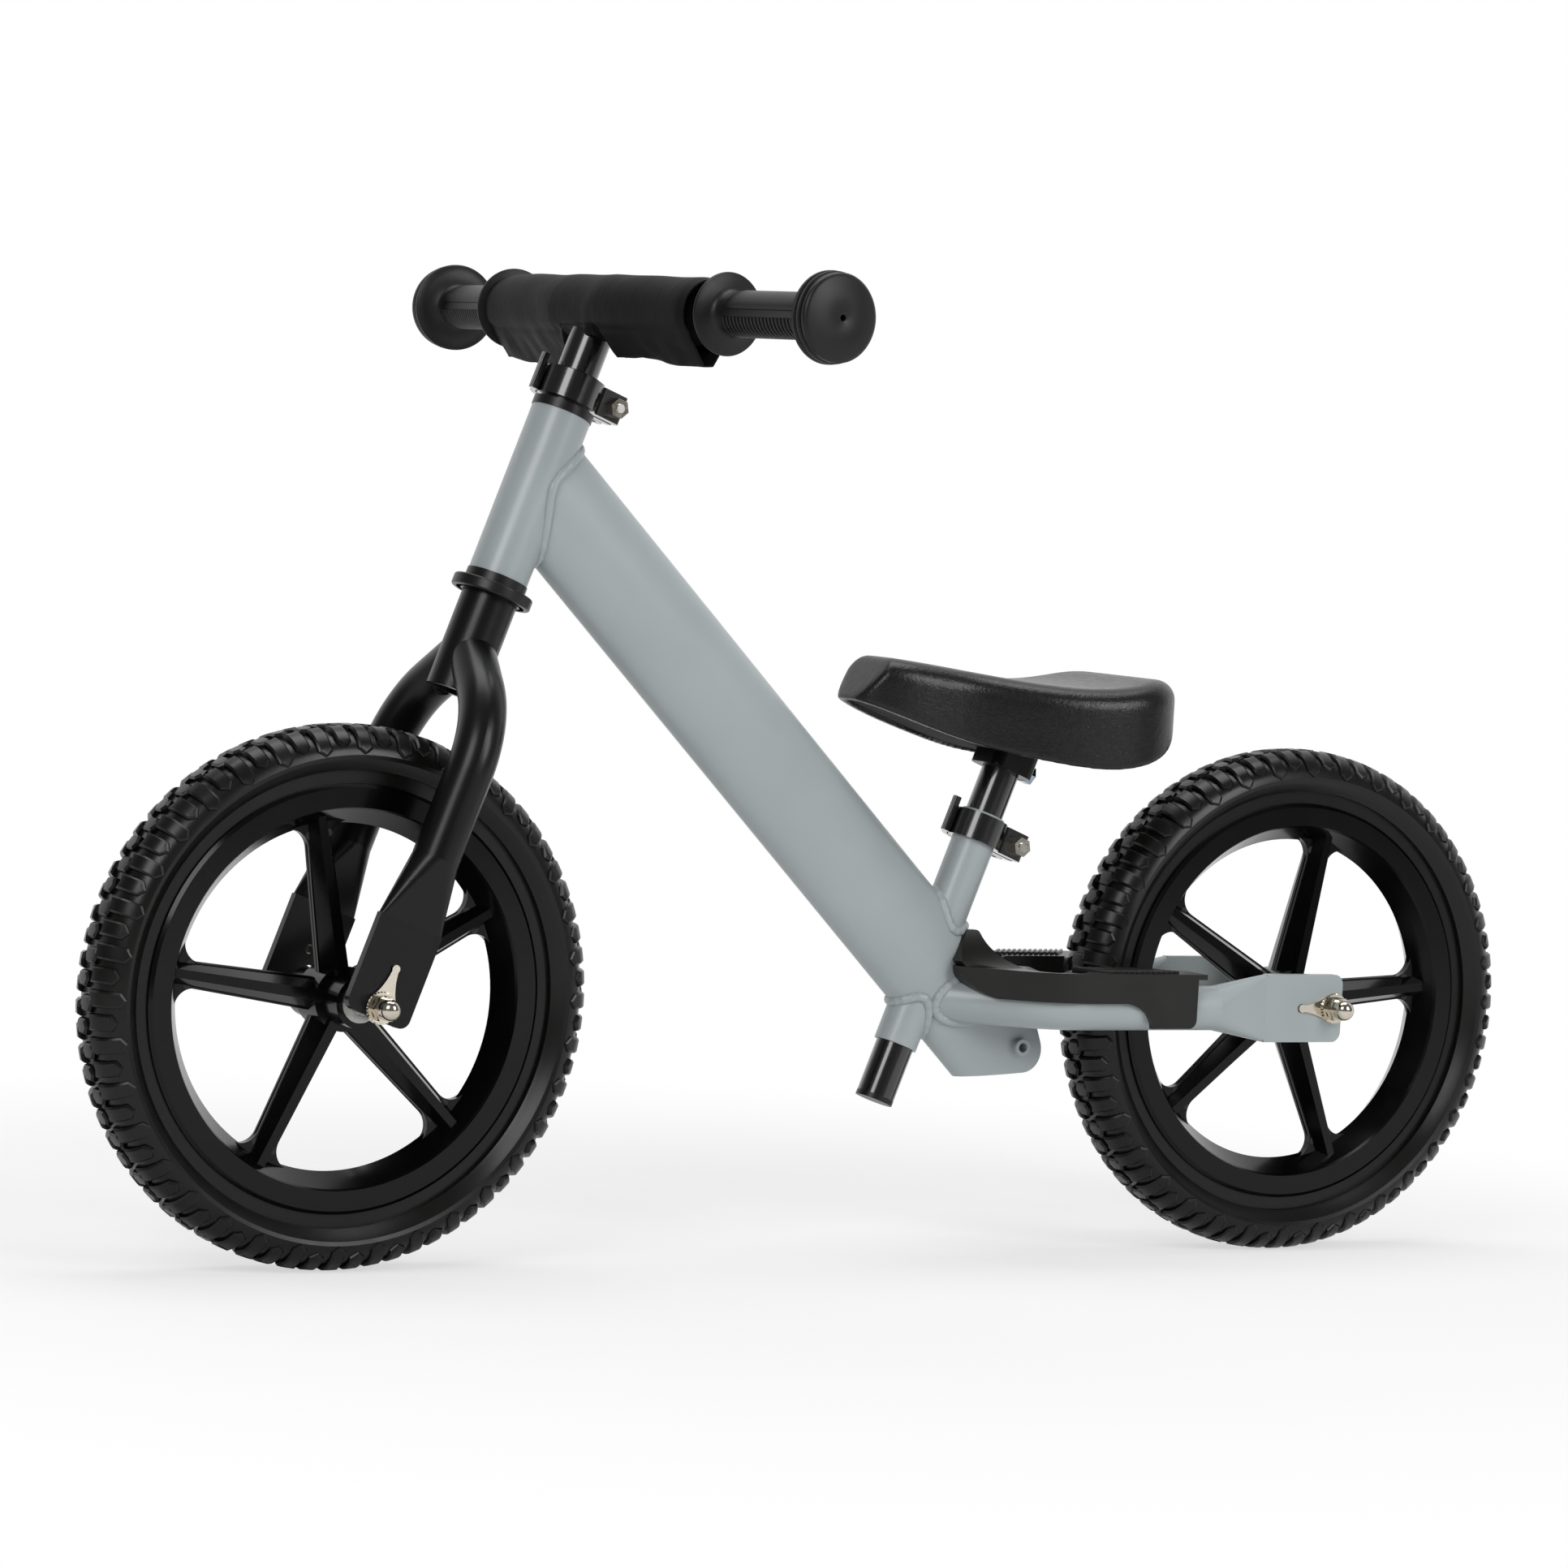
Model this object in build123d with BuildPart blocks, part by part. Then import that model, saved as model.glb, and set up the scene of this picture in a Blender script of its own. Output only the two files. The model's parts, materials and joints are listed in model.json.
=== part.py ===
from build123d import *
import math
import os

os.makedirs("parts", exist_ok=True)

# Overall geometry. X points forward, Y to the rider's left, Z up, ground at Z = 0.
tyre_diameter = 300.0
wheel_base = 630.0
head_angle = 69.6
seat_angle = 69.0
chainstay_length = 258.0

# Fits between pieces, radial
running_fit = 0.05
seat_fit = 0.02
moving_gap = 0.4

# Frame tubes
head_tube_diameter = 34.0
head_tube_bore = 31.0
head_tube_bottom = 248.0
head_tube_length = 98.0
down_tube_height = 63.5
down_tube_inset = 0.6
down_tube_wall = 1.8
down_tube_drop = 40.2
down_tube_on_seat = 22.0
tail_thickness = 15.0
tail_run = 120.0
tail_reach = 89.0
tail_drop = 41.5
tail_slope = 4.0
tail_lean = 15.0
tail_corner = 14.0
seat_tube_diameter = 25.4
seat_tube_above = 114.5
seat_tube_below = 29.0
chainstay_diameter = 26.0
chainstay_wall = 1.6
chainstay_bend = 45.0
chainstay_inset = 15.0
chainstay_root = 3.0
chainstay_splay = 45.0
boss_diameter = 10.0
boss_hole = 5.5
boss_behind = 68.0
boss_below = 27.5
boss_stand = 3.0

# Flattened dropout ends, front and rear alike
dropout_offset = 52.5
dropout_thickness = 5.0
dropout_width = 40.0
dropout_length = 48.0
dropout_overhang = 6.5
dropout_corner = 6.0
flatten_length = 38.0
flatten_step = 0.2
tab_hole = 5.2
tab_distance = 22.5

# Headset
cup_sleeve_length = 14.0
cup_flange_diameter = 35.0
cup_flange = 5.0
crown_ring_diameter = 46.0
crown_ring_thickness = 6.6
crown_ring_lip = 3.0

# Fork
steerer_diameter = 28.6
crown_diameter = 31.8
crown_length = 56.0
leg_diameter = 26.4
leg_wall = 1.6
leg_start = 25.0
leg_elbow = 14.0
leg_bend = 60.0

# Quick-release collars
collar_height = 16.0
collar_wall = 2.9
collar_gap = 3.0
ear_thickness = 6.0
ear_reach = 15.0
skewer_reach = 9.2
skewer_diameter = 5.0
skewer_eye = 9.0
eye_height = 6.0
lever_barrel = 11.0
lever_band = 3.2
lever_pin = 4.0
lever_tip = 4.2
lever_tip_rise = 5.0
nut_size = 10.0
nut_height = 5.5

# Handlebar
stem_diameter = 23.8
stem_wall = 2.0
stem_insert = 110.0
bar_above_head = 62.6
bar_diameter = 19.0
bar_wall = 1.6
bar_straight = 25.0
bar_sweep = 6.0
bar_bend = 60.0
bar_arm = 194.5
grip_diameter = 24.0
grip_start = 96.9
grip_inner_flange = 45.5
grip_outer_flange = 49.8
grip_end_face = 47.5
grip_end_hole = 3.6
pad_end = 94.5
pad_foam_diameter = 36.0
pad_diameter = 40.0
pad_flap = 30.0
pad_flap_thickness = 4.0
pad_notch = 17.0
pad_notch_top = 18.0

# Wheels
rim_lip = 236.0
rim_lip_depth = 3.5
rim_lip_width = 6.0
rim_band = 13.0
rim_barrel = 9.25
rim_width = 31.0
tyre_width = 46.0
tyre_groove = 3.0
tyre_groove_width = 7.5
spoke_count = 5
spoke_hub_width = 19.0
spoke_rim_width = 14.0
spoke_hub_depth = 30.0
spoke_rim_depth = 18.0
spoke_web = 5.0
spoke_flare = 11.0
front_spoke_angle = 79.8
rear_spoke_angle = 103.3
hub_diameter = 28.6
hub_flange_diameter = 36.0
hub_flange_width = 24.0
hub_length = 62.0
hub_bore = 12.0
bearing_diameter = 22.0
bearing_width = 7.0
bearing_stand = 1.0
axle_diameter = 8.0
spacer_diameter = 12.5
washer_diameter = 18.0
washer_thickness = 1.5
axle_nut_size = 13.0
axle_nut_height = 6.5
dome_diameter = 12.0
dome_neck = 3.5

# Seat
post_diameter = 22.2
post_wall = 1.6
post_exposed = 27.5
post_tail = 34.5
plug_lip = 3.0
plug_depth = 12.0
bracket_length = 29.0
bracket_width = 30.0
bracket_height = 14.0
bracket_bolt = 6.0
bracket_bolt_head = 10.0
pan_inset = 5.0
pan_recess = 2.0
pan_thickness = 4.0
saddle_front = 108.0
saddle_rear = 97.0
saddle_width = 123.0
saddle_nose_width = 46.0
saddle_nose_low = 39.5
saddle_tail_low = 36.0
saddle_nose_high = 64.0
saddle_nose_slant = 19.0
saddle_sag = 6.5
saddle_round = 12.0
saddle_nose_round = 5.0

# Footrest cover
footrest_wall = 3.0
footrest_top = 21.0
footrest_skirt = 4.0
footrest_hook = 41.0
footrest_scoop = 42.0
footrest_scoop_depth = 4.5
footrest_wrap = 10.5
footrest_sweep = 20.0
footrest_corner = 5.0
footrest_lip = 6.0
footrest_slot = 19.0
footrest_short = 20.0
footrest_wrap_length = 31.0
footrest_gap = 0.3

# Derived positions
tyre_radius = tyre_diameter / 2
front_axle = Vector(wheel_base / 2, 0, tyre_radius)
rear_axle = Vector(-wheel_base / 2, 0, tyre_radius)
seat_foot = rear_axle + Vector(chainstay_length, 0, 0)
head_up = Vector(-math.cos(math.radians(head_angle)), 0, math.sin(math.radians(head_angle)))
head_forward = Vector(head_up.Z, 0, -head_up.X)
seat_up = Vector(-math.cos(math.radians(seat_angle)), 0, math.sin(math.radians(seat_angle)))
seat_forward = Vector(seat_up.Z, 0, -seat_up.X)
left = Vector(0, 1, 0)
head_tube_top = head_tube_bottom + head_tube_length
crown_ring_top = head_tube_bottom - cup_flange - moving_gap
crown_ring_bottom = crown_ring_top - crown_ring_thickness
crown_bottom = crown_ring_bottom - crown_length
upper_cup_top = head_tube_top + cup_flange
bar_collar_bottom = upper_cup_top + moving_gap + 1.6
bar_collar_top = bar_collar_bottom + collar_height
bar_height = head_tube_top + bar_above_head
dropout_inner = dropout_offset - dropout_thickness / 2
dropout_outer = dropout_offset + dropout_thickness / 2
hub_half = hub_length / 2
rim_seat = rim_lip - 2 * rim_lip_depth
rim_face = rim_lip - 2 * rim_band
tyre_bead = rim_lip + 2 * tyre_groove_width
rim_inner = rim_face - 2 * rim_barrel
leg_press = leg_diameter - 2 * flatten_step
stay_press = chainstay_diameter - 2 * flatten_step
seat_collar_top = seat_tube_above - 1.5
seat_collar_bottom = seat_collar_top - collar_height


def head_plane(height):
    return Plane(origin=front_axle + head_up * height, x_dir=head_forward, z_dir=head_up)


def seat_plane(height):
    return Plane(origin=seat_foot + seat_up * height, x_dir=seat_forward, z_dir=seat_up)


def head_point(height, side):
    return front_axle + head_up * height + left * side


down_top = head_plane(head_tube_top - down_tube_drop).origin
down_low = seat_plane(down_tube_on_seat).origin
down_along = (down_low - down_top).normalized()
down_run = (down_low - down_top).length
down_normal = Vector(-down_along.Z, 0, down_along.X)
down_tube_width = head_tube_diameter - down_tube_inset


def down_plane(run):
    return Plane(origin=down_top + down_along * run, x_dir=down_normal, z_dir=down_along)


# Head tube
with BuildPart() as head_tube:
    with BuildSketch(head_plane(head_tube_bottom)):
        Circle(head_tube_diameter / 2)
        Circle(head_tube_bore / 2, mode=Mode.SUBTRACT)
    extrude(amount=head_tube_length)
head_tube.part.label = "head_tube"
export_step(head_tube.part, "parts/head_tube.step")

# Outer form of the down tube: oval section with a flattened tail, trimmed round the tail corner
tail_corner_x = seat_foot.X - tail_reach
tail_corner_z = seat_foot.Z - tail_drop
tail_fall = math.tan(math.radians(tail_slope)) * 4 * tail_reach
tail_tilt = math.tan(math.radians(tail_lean)) * 2 * tail_reach
with BuildPart() as down_form:
    with BuildSketch(down_plane(0)):
        Ellipse(down_tube_height / 2, down_tube_width / 2)
    extrude(amount=down_run)
    with BuildSketch(down_plane(down_run)):
        Ellipse(down_tube_height / 2, down_tube_width / 2)
    with BuildSketch(down_plane(down_run + tail_run)):
        Ellipse(down_tube_height / 2, tail_thickness / 2)
    loft()
    with BuildSketch(Plane.XZ) as tail_waste:
        with BuildLine():
            Polyline(
                (tail_corner_x - 2 * tail_reach, tail_corner_z - 2 * tail_reach),
                (tail_corner_x + 4 * tail_reach, tail_corner_z - 2 * tail_reach),
                (tail_corner_x + 4 * tail_reach, tail_corner_z - tail_fall),
                (tail_corner_x, tail_corner_z),
                (tail_corner_x + tail_tilt, tail_corner_z + 2 * tail_reach),
                (tail_corner_x - 2 * tail_reach, tail_corner_z + 2 * tail_reach),
                close=True,
            )
        make_face()
        corner = (tail_corner_x, tail_corner_z, 0)
        fillet(tail_waste.vertices().sort_by_distance(corner)[0], tail_corner)
    extrude(amount=down_tube_width, both=True, mode=Mode.SUBTRACT)

# Down tube
with BuildPart() as down_tube:
    add(down_form.part)
    with BuildSketch(down_plane(0)):
        Ellipse(down_tube_height / 2 - down_tube_wall, down_tube_width / 2 - down_tube_wall)
    extrude(amount=down_run, mode=Mode.SUBTRACT)
    with BuildSketch(down_plane(down_run)):
        Ellipse(down_tube_height / 2 - down_tube_wall, down_tube_width / 2 - down_tube_wall)
    with BuildSketch(down_plane(down_run + tail_run)):
        Ellipse(down_tube_height / 2 - down_tube_wall, tail_thickness / 2 - down_tube_wall)
    loft(mode=Mode.SUBTRACT)
    with BuildSketch(head_plane(0)):
        Circle(head_tube_diameter / 2)
    extrude(amount=bar_height, mode=Mode.SUBTRACT)
    with BuildSketch(seat_plane(-seat_tube_below - down_tube_height)):
        Circle(seat_tube_diameter / 2)
    extrude(amount=seat_tube_above + seat_tube_below + down_tube_height, mode=Mode.SUBTRACT)
    with BuildSketch(Plane.XZ):
        with Locations((seat_foot.X - boss_behind, seat_foot.Z - boss_below)):
            Circle(boss_diameter / 2)
    extrude(amount=down_tube_width, both=True, mode=Mode.SUBTRACT)
down_tube.part.label = "down_tube"
export_step(down_tube.part, "parts/down_tube.step")

# Boss sleeve through the tail
boss_half = down_tube_width / 4 + tail_thickness / 4 + boss_stand
with BuildPart() as tail_boss:
    with BuildSketch(Plane.XZ):
        with Locations((seat_foot.X - boss_behind, seat_foot.Z - boss_below)):
            Circle(boss_diameter / 2)
            Circle(boss_hole / 2, mode=Mode.SUBTRACT)
    extrude(amount=boss_half, both=True)
tail_boss.part.label = "tail_boss"
export_step(tail_boss.part, "parts/tail_boss.step")

# Seat tube, slotted at the rear of its top
with BuildPart() as seat_tube:
    with BuildSketch(seat_plane(-seat_tube_below)):
        Circle(seat_tube_diameter / 2)
        Circle(post_diameter / 2 + running_fit, mode=Mode.SUBTRACT)
    extrude(amount=seat_tube_below + seat_tube_above)
    with BuildSketch(seat_plane(seat_collar_bottom)):
        with Locations((-seat_tube_diameter / 2, 0)):
            Rectangle(seat_tube_diameter / 2, collar_gap)
    extrude(amount=2 * collar_height, mode=Mode.SUBTRACT)
seat_tube.part.label = "seat_tube"
export_step(seat_tube.part, "parts/seat_tube.step")

# Chainstays: bent tube, flattened into a dropout plate
stay_root = seat_foot + Vector(-chainstay_inset, chainstay_root, 0)
stay_out = dropout_offset - chainstay_root
stay_elbow = stay_root + Vector(-stay_out / math.tan(math.radians(chainstay_splay)), stay_out, 0)
stay_flat = rear_axle + Vector(dropout_length + flatten_length, dropout_offset, 0)
stay_plate = rear_axle + Vector(dropout_length, dropout_offset, 0)
with BuildPart() as chainstay_left:
    with BuildLine() as stay_line:
        FilletPolyline(stay_root, stay_elbow, stay_flat, radius=chainstay_bend)
    with BuildSketch(Plane(origin=stay_root, z_dir=stay_elbow - stay_root)):
        Circle(chainstay_diameter / 2)
        Circle(chainstay_diameter / 2 - chainstay_wall, mode=Mode.SUBTRACT)
    sweep(path=stay_line.wires()[0])
    with BuildSketch(Plane(origin=stay_flat, x_dir=(0, 0, 1), z_dir=(-1, 0, 0))):
        RectangleRounded(stay_press, stay_press, stay_press / 2 - 0.1)
    with BuildSketch(Plane(origin=stay_plate, x_dir=(0, 0, 1), z_dir=(-1, 0, 0))):
        RectangleRounded(dropout_width, dropout_thickness, dropout_thickness / 2 - 0.1)
    loft()
    with BuildSketch(Plane(origin=rear_axle + left * dropout_inner, x_dir=(1, 0, 0), z_dir=left)) as plate:
        with Locations(((dropout_length - dropout_overhang) / 2, 0)):
            Rectangle(dropout_length + dropout_overhang, dropout_width)
        fillet(plate.vertices().group_by(Axis.X)[0], dropout_corner)
        Circle(axle_diameter / 2 + running_fit, mode=Mode.SUBTRACT)
        with Locations((tab_distance, 0)):
            Circle(tab_hole / 2, mode=Mode.SUBTRACT)
    extrude(amount=dropout_thickness)
    add(down_form.part, mode=Mode.SUBTRACT)
    with BuildSketch(Plane.XZ):
        with Locations((seat_foot.X - boss_behind, seat_foot.Z - boss_below)):
            Circle(boss_diameter / 2)
    extrude(amount=boss_half, both=True, mode=Mode.SUBTRACT)
chainstay_left.part.label = "chainstay_left"
export_step(chainstay_left.part, "parts/chainstay_left.step")

with BuildPart() as chainstay_right:
    mirror(chainstay_left.part, about=Plane.XZ)
chainstay_right.part.label = "chainstay_right"
export_step(chainstay_right.part, "parts/chainstay_right.step")

# Footrest cover: a skirted channel over each chainstay, bridged behind the seat tube
cover_half = chainstay_diameter / 2 + footrest_wall
cover_start = stay_root + (stay_elbow - stay_root) * 0.15
cover_end = stay_flat + Vector(footrest_short, 0, 0)
wrap_span = footrest_wrap_length + footrest_sweep
bridge_half = dropout_offset - cover_half + footrest_wall
mound_x = seat_foot.X - down_tube_height / 2 / abs(down_along.Z)
with BuildPart() as footrest:
    with BuildSketch(Plane.XZ) as mound:
        with BuildLine():
            ThreePointArc(
                (mound_x + 11.5, seat_foot.Z + footrest_hook),
                (mound_x + 2, seat_foot.Z + (footrest_hook + footrest_top) / 2 - 4.5),
                (mound_x - 12.5, seat_foot.Z + footrest_top - 1.5),
            )
            Polyline(
                (mound_x - 12.5, seat_foot.Z + footrest_top - 1.5),
                (mound_x - 20.5, seat_foot.Z + footrest_skirt + 6),
                (mound_x + 19.5, seat_foot.Z + footrest_skirt + 6),
                (mound_x + 30.5, seat_foot.Z + footrest_top + 3),
                (mound_x + 19.5, seat_foot.Z + footrest_hook),
                (mound_x + 11.5, seat_foot.Z + footrest_hook),
            )
        make_face()
        fillet(mound.vertices().group_by(Axis.Y)[-1], 3)
    extrude(amount=bridge_half, both=True)
    with BuildSketch(Plane.YZ.offset(seat_foot.X)):
        with BuildLine():
            for side in (1, -1):
                ThreePointArc(
                    (side * bridge_half / 3, seat_foot.Z + footrest_hook),
                    (side * bridge_half * 0.6, seat_foot.Z + (footrest_hook + footrest_top) / 2 - 4.5),
                    (side * bridge_half, seat_foot.Z + footrest_top - 1),
                )
            Line(
                (bridge_half / 3, seat_foot.Z + footrest_hook),
                (-bridge_half / 3, seat_foot.Z + footrest_hook),
            )
            Polyline(
                (-bridge_half, seat_foot.Z + footrest_top - 1),
                (-bridge_half, seat_foot.Z),
                (bridge_half, seat_foot.Z),
                (bridge_half, seat_foot.Z + footrest_top - 1),
            )
        make_face()
    extrude(amount=wheel_base / 2, both=True, mode=Mode.INTERSECT)
    with BuildSketch(Plane.XY.offset(seat_foot.Z)):
        with BuildLine():
            Polyline(
                (seat_foot.X, -down_tube_width / 2 - 5),
                (mound_x - 4.5, -bridge_half),
                (mound_x - 34.5, -bridge_half),
                (mound_x - 34.5, bridge_half),
                (mound_x - 4.5, bridge_half),
                (seat_foot.X, down_tube_width / 2 + 5),
                close=True,
            )
        make_face()
    extrude(amount=2 * footrest_hook, mode=Mode.INTERSECT)
    for side in (1, -1):
        start = Vector(cover_start.X, cover_start.Y * side, cover_start.Z)
        elbow = Vector(stay_elbow.X, stay_elbow.Y * side, stay_elbow.Z)
        finish = Vector(cover_end.X, cover_end.Y * side, cover_end.Z)
        with BuildLine() as cover_line:
            FilletPolyline(start, elbow, finish, radius=chainstay_bend)
        with BuildSketch(Plane(origin=start, x_dir=(0, 0, 1), z_dir=elbow - start)):
            with Locations(((footrest_skirt + footrest_top) / 2, 0)):
                Rectangle(footrest_top - footrest_skirt, 2 * cover_half)
        sweep(path=cover_line.wires()[0])
        outer_face = Plane(origin=finish + left * cover_half, x_dir=(1, 0, 0), z_dir=(0, -1, 0))
        with BuildSketch(outer_face) as wrap_side:
            Rectangle(wrap_span, 2 * footrest_wrap, align=(Align.MIN, Align.CENTER))
            fillet(wrap_side.vertices().group_by(Axis.X)[0].sort_by(Axis.Y)[0], footrest_corner)
            with Locations((wrap_span, -footrest_wrap)):
                Ellipse(footrest_sweep, footrest_wrap + footrest_skirt, mode=Mode.SUBTRACT)
        extrude(amount=2 * cover_half)
        with BuildSketch(outer_face):
            with Locations((-footrest_lip, footrest_top - footrest_wall)):
                Rectangle(2 * footrest_lip, footrest_wall, align=(Align.MIN, Align.MIN))
        extrude(amount=2 * cover_half)
        with BuildLine() as tube_line:
            root = Vector(stay_root.X, stay_root.Y * side, stay_root.Z)
            flat = Vector(stay_flat.X, stay_flat.Y * side, stay_flat.Z)
            FilletPolyline(root, elbow, flat, radius=chainstay_bend)
        with BuildSketch(Plane(origin=root, z_dir=elbow - root)):
            Circle(chainstay_diameter / 2 + footrest_gap)
        sweep(path=tube_line.wires()[0], mode=Mode.SUBTRACT)
        with BuildSketch(Plane(origin=finish, x_dir=(0, 0, 1), z_dir=(1, 0, 0))):
            with Locations((-footrest_wrap, 0)):
                Rectangle(2 * footrest_wrap, chainstay_diameter)
        extrude(amount=wrap_span, mode=Mode.SUBTRACT)
        dip = (stay_elbow.X - 4, (dropout_offset - 8) * side, seat_foot.Z + footrest_top)
        with Locations(Vector(*dip) + Vector(0, 0, footrest_scoop - footrest_scoop_depth)):
            Sphere(footrest_scoop, mode=Mode.SUBTRACT)
    with BuildSketch(Plane.XZ):
        with BuildLine():
            ThreePointArc(
                (seat_foot.X - 13, seat_foot.Z + footrest_top + 3),
                (seat_foot.X - 22, seat_foot.Z + footrest_skirt + 5),
                (seat_foot.X - 37, seat_foot.Z + footrest_skirt - 1),
            )
            Polyline(
                (seat_foot.X - 37, seat_foot.Z + footrest_skirt - 1),
                (seat_foot.X + 20, seat_foot.Z),
                (seat_foot.X + 20, seat_foot.Z + footrest_top + 3),
                (seat_foot.X - 13, seat_foot.Z + footrest_top + 3),
            )
        make_face()
    extrude(amount=bridge_half + 2 * cover_half, both=True, mode=Mode.SUBTRACT)
    with BuildSketch(down_plane(0)):
        Ellipse(down_tube_height / 2 + footrest_gap, down_tube_width / 2 + footrest_gap)
    extrude(amount=down_run + tail_run, mode=Mode.SUBTRACT)
    with BuildSketch(seat_plane(0)):
        Circle(seat_tube_diameter / 2 + footrest_gap)
    extrude(amount=seat_tube_above, mode=Mode.SUBTRACT)
    with BuildSketch(Plane.XY.offset(seat_foot.Z + footrest_top)):
        with Locations((seat_foot.X, 0)):
            Rectangle(3 * footrest_hook, footrest_slot)
    extrude(amount=2 * footrest_hook, mode=Mode.SUBTRACT)
footrest.part.label = "footrest"
export_step(footrest.part, "parts/footrest.step")

# Headset cups, pressed into the head tube
with BuildPart() as upper_cup:
    with BuildSketch(head_plane(head_tube_top)):
        Circle(cup_flange_diameter / 2)
    extrude(amount=cup_flange)
    with BuildSketch(head_plane(head_tube_top)):
        Circle(head_tube_bore / 2 - seat_fit)
    extrude(amount=-cup_sleeve_length)
    with BuildSketch(head_plane(head_tube_bottom)):
        Circle(steerer_diameter / 2 + running_fit)
    extrude(amount=2 * head_tube_length, mode=Mode.SUBTRACT)
upper_cup.part.label = "upper_cup"
export_step(upper_cup.part, "parts/upper_cup.step")

with BuildPart() as lower_cup:
    with BuildSketch(head_plane(head_tube_bottom)):
        Circle(cup_flange_diameter / 2)
    extrude(amount=-cup_flange)
    with BuildSketch(head_plane(head_tube_bottom)):
        Circle(head_tube_bore / 2 - seat_fit)
    extrude(amount=cup_sleeve_length)
    with BuildSketch(head_plane(crown_bottom)):
        Circle(steerer_diameter / 2 + running_fit)
    extrude(amount=2 * head_tube_length, mode=Mode.SUBTRACT)
lower_cup.part.label = "lower_cup"
export_step(lower_cup.part, "parts/lower_cup.step")

# Crown ring under the lower cup, hollow below
with BuildPart() as crown_ring:
    with BuildSketch(head_plane(crown_ring_bottom)):
        Circle(crown_ring_diameter / 2)
        Circle(steerer_diameter / 2 + seat_fit, mode=Mode.SUBTRACT)
    extrude(amount=crown_ring_thickness)
    with BuildSketch(head_plane(crown_ring_bottom)):
        Circle(crown_ring_diameter / 2 - crown_ring_lip)
        Circle(crown_diameter / 2 + crown_ring_lip / 2, mode=Mode.SUBTRACT)
    extrude(amount=crown_ring_thickness / 2, mode=Mode.SUBTRACT)
    fillet(crown_ring.edges().filter_by(GeomType.CIRCLE).sort_by(SortBy.RADIUS)[-2:], 1.2)
crown_ring.part.label = "crown_ring"
export_step(crown_ring.part, "parts/crown_ring.step")

# Steerer and crown, one tube with a sleeve, slotted at the rear of its top
with BuildPart() as steerer:
    with BuildSketch(head_plane(crown_bottom)):
        Circle(crown_diameter / 2)
    extrude(amount=crown_length)
    with BuildSketch(head_plane(crown_bottom)):
        Circle(steerer_diameter / 2)
    extrude(amount=bar_collar_top + 1 - crown_bottom)
    with BuildSketch(head_plane(crown_bottom)):
        Circle(stem_diameter / 2 + running_fit)
    extrude(amount=bar_height, mode=Mode.SUBTRACT)
    with BuildSketch(head_plane(bar_collar_bottom)):
        with Locations((-steerer_diameter / 2, 0)):
            Rectangle(steerer_diameter / 2, collar_gap)
    extrude(amount=2 * collar_height, mode=Mode.SUBTRACT)
steerer.part.label = "steerer"
export_step(steerer.part, "parts/steerer.step")

# Fork legs: bent tube from the crown, flattened into a dropout plate
leg_root = head_point(crown_bottom + leg_start, leg_wall)
leg_corner = head_point(crown_bottom - leg_elbow, dropout_offset)
leg_flat = head_point(dropout_length + flatten_length, dropout_offset)
leg_plate = head_point(dropout_length, dropout_offset)
with BuildPart() as fork_leg_left:
    with BuildLine() as leg_line:
        FilletPolyline(leg_root, leg_corner, leg_flat, radius=leg_bend)
    with BuildSketch(Plane(origin=leg_root, z_dir=leg_corner - leg_root)):
        Circle(leg_diameter / 2)
        Circle(leg_diameter / 2 - leg_wall, mode=Mode.SUBTRACT)
    sweep(path=leg_line.wires()[0])
    with BuildSketch(Plane(origin=leg_flat, x_dir=head_forward, z_dir=head_up * -1)):
        RectangleRounded(leg_press, leg_press, leg_press / 2 - 0.1)
    with BuildSketch(Plane(origin=leg_plate, x_dir=head_forward, z_dir=head_up * -1)):
        RectangleRounded(dropout_width, dropout_thickness, dropout_thickness / 2 - 0.1)
    loft()
    plate_plane = Plane(origin=head_point(0, dropout_outer), x_dir=head_forward, z_dir=(0, -1, 0))
    with BuildSketch(plate_plane) as leg_tip:
        with Locations((0, (dropout_length - dropout_overhang) / 2)):
            Rectangle(dropout_width, dropout_length + dropout_overhang)
        fillet(leg_tip.vertices().group_by(Axis.Y)[0], dropout_corner)
        Circle(axle_diameter / 2 + running_fit, mode=Mode.SUBTRACT)
        with Locations((0, tab_distance)):
            Circle(tab_hole / 2, mode=Mode.SUBTRACT)
    extrude(amount=dropout_thickness)
    with BuildSketch(head_plane(crown_bottom - crown_length)):
        Circle(crown_diameter / 2)
    extrude(amount=3 * crown_length, mode=Mode.SUBTRACT)
fork_leg_left.part.label = "fork_leg_left"
export_step(fork_leg_left.part, "parts/fork_leg_left.step")

with BuildPart() as fork_leg_right:
    mirror(fork_leg_left.part, about=Plane.XZ)
fork_leg_right.part.label = "fork_leg_right"
export_step(fork_leg_right.part, "parts/fork_leg_right.step")


# Quick-release collars: ring with two ears, skewer with an eye, pin, nut and wrap-round lever
def collar_ring(plane, tube_diameter):
    ring_radius = tube_diameter / 2 + collar_wall
    skewer_x = -(ring_radius + skewer_reach)
    ear_width = 2 * ear_thickness + collar_gap
    with BuildPart() as ring:
        with BuildSketch(plane):
            Circle(ring_radius)
            with Locations((-ring_radius - ear_reach / 2 + 1, 0)):
                RectangleRounded(ear_reach + 2, ear_width, 2)
            Circle(tube_diameter / 2 + seat_fit, mode=Mode.SUBTRACT)
            with Locations((-ring_radius - ear_reach / 2, 0)):
                Rectangle(2 * ear_reach, collar_gap, mode=Mode.SUBTRACT)
        extrude(amount=collar_height)
        with BuildSketch(skewer_plane(plane, skewer_x)):
            Circle(skewer_diameter / 2 + seat_fit)
        extrude(amount=ear_width, both=True, mode=Mode.SUBTRACT)
    return ring.part


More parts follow.
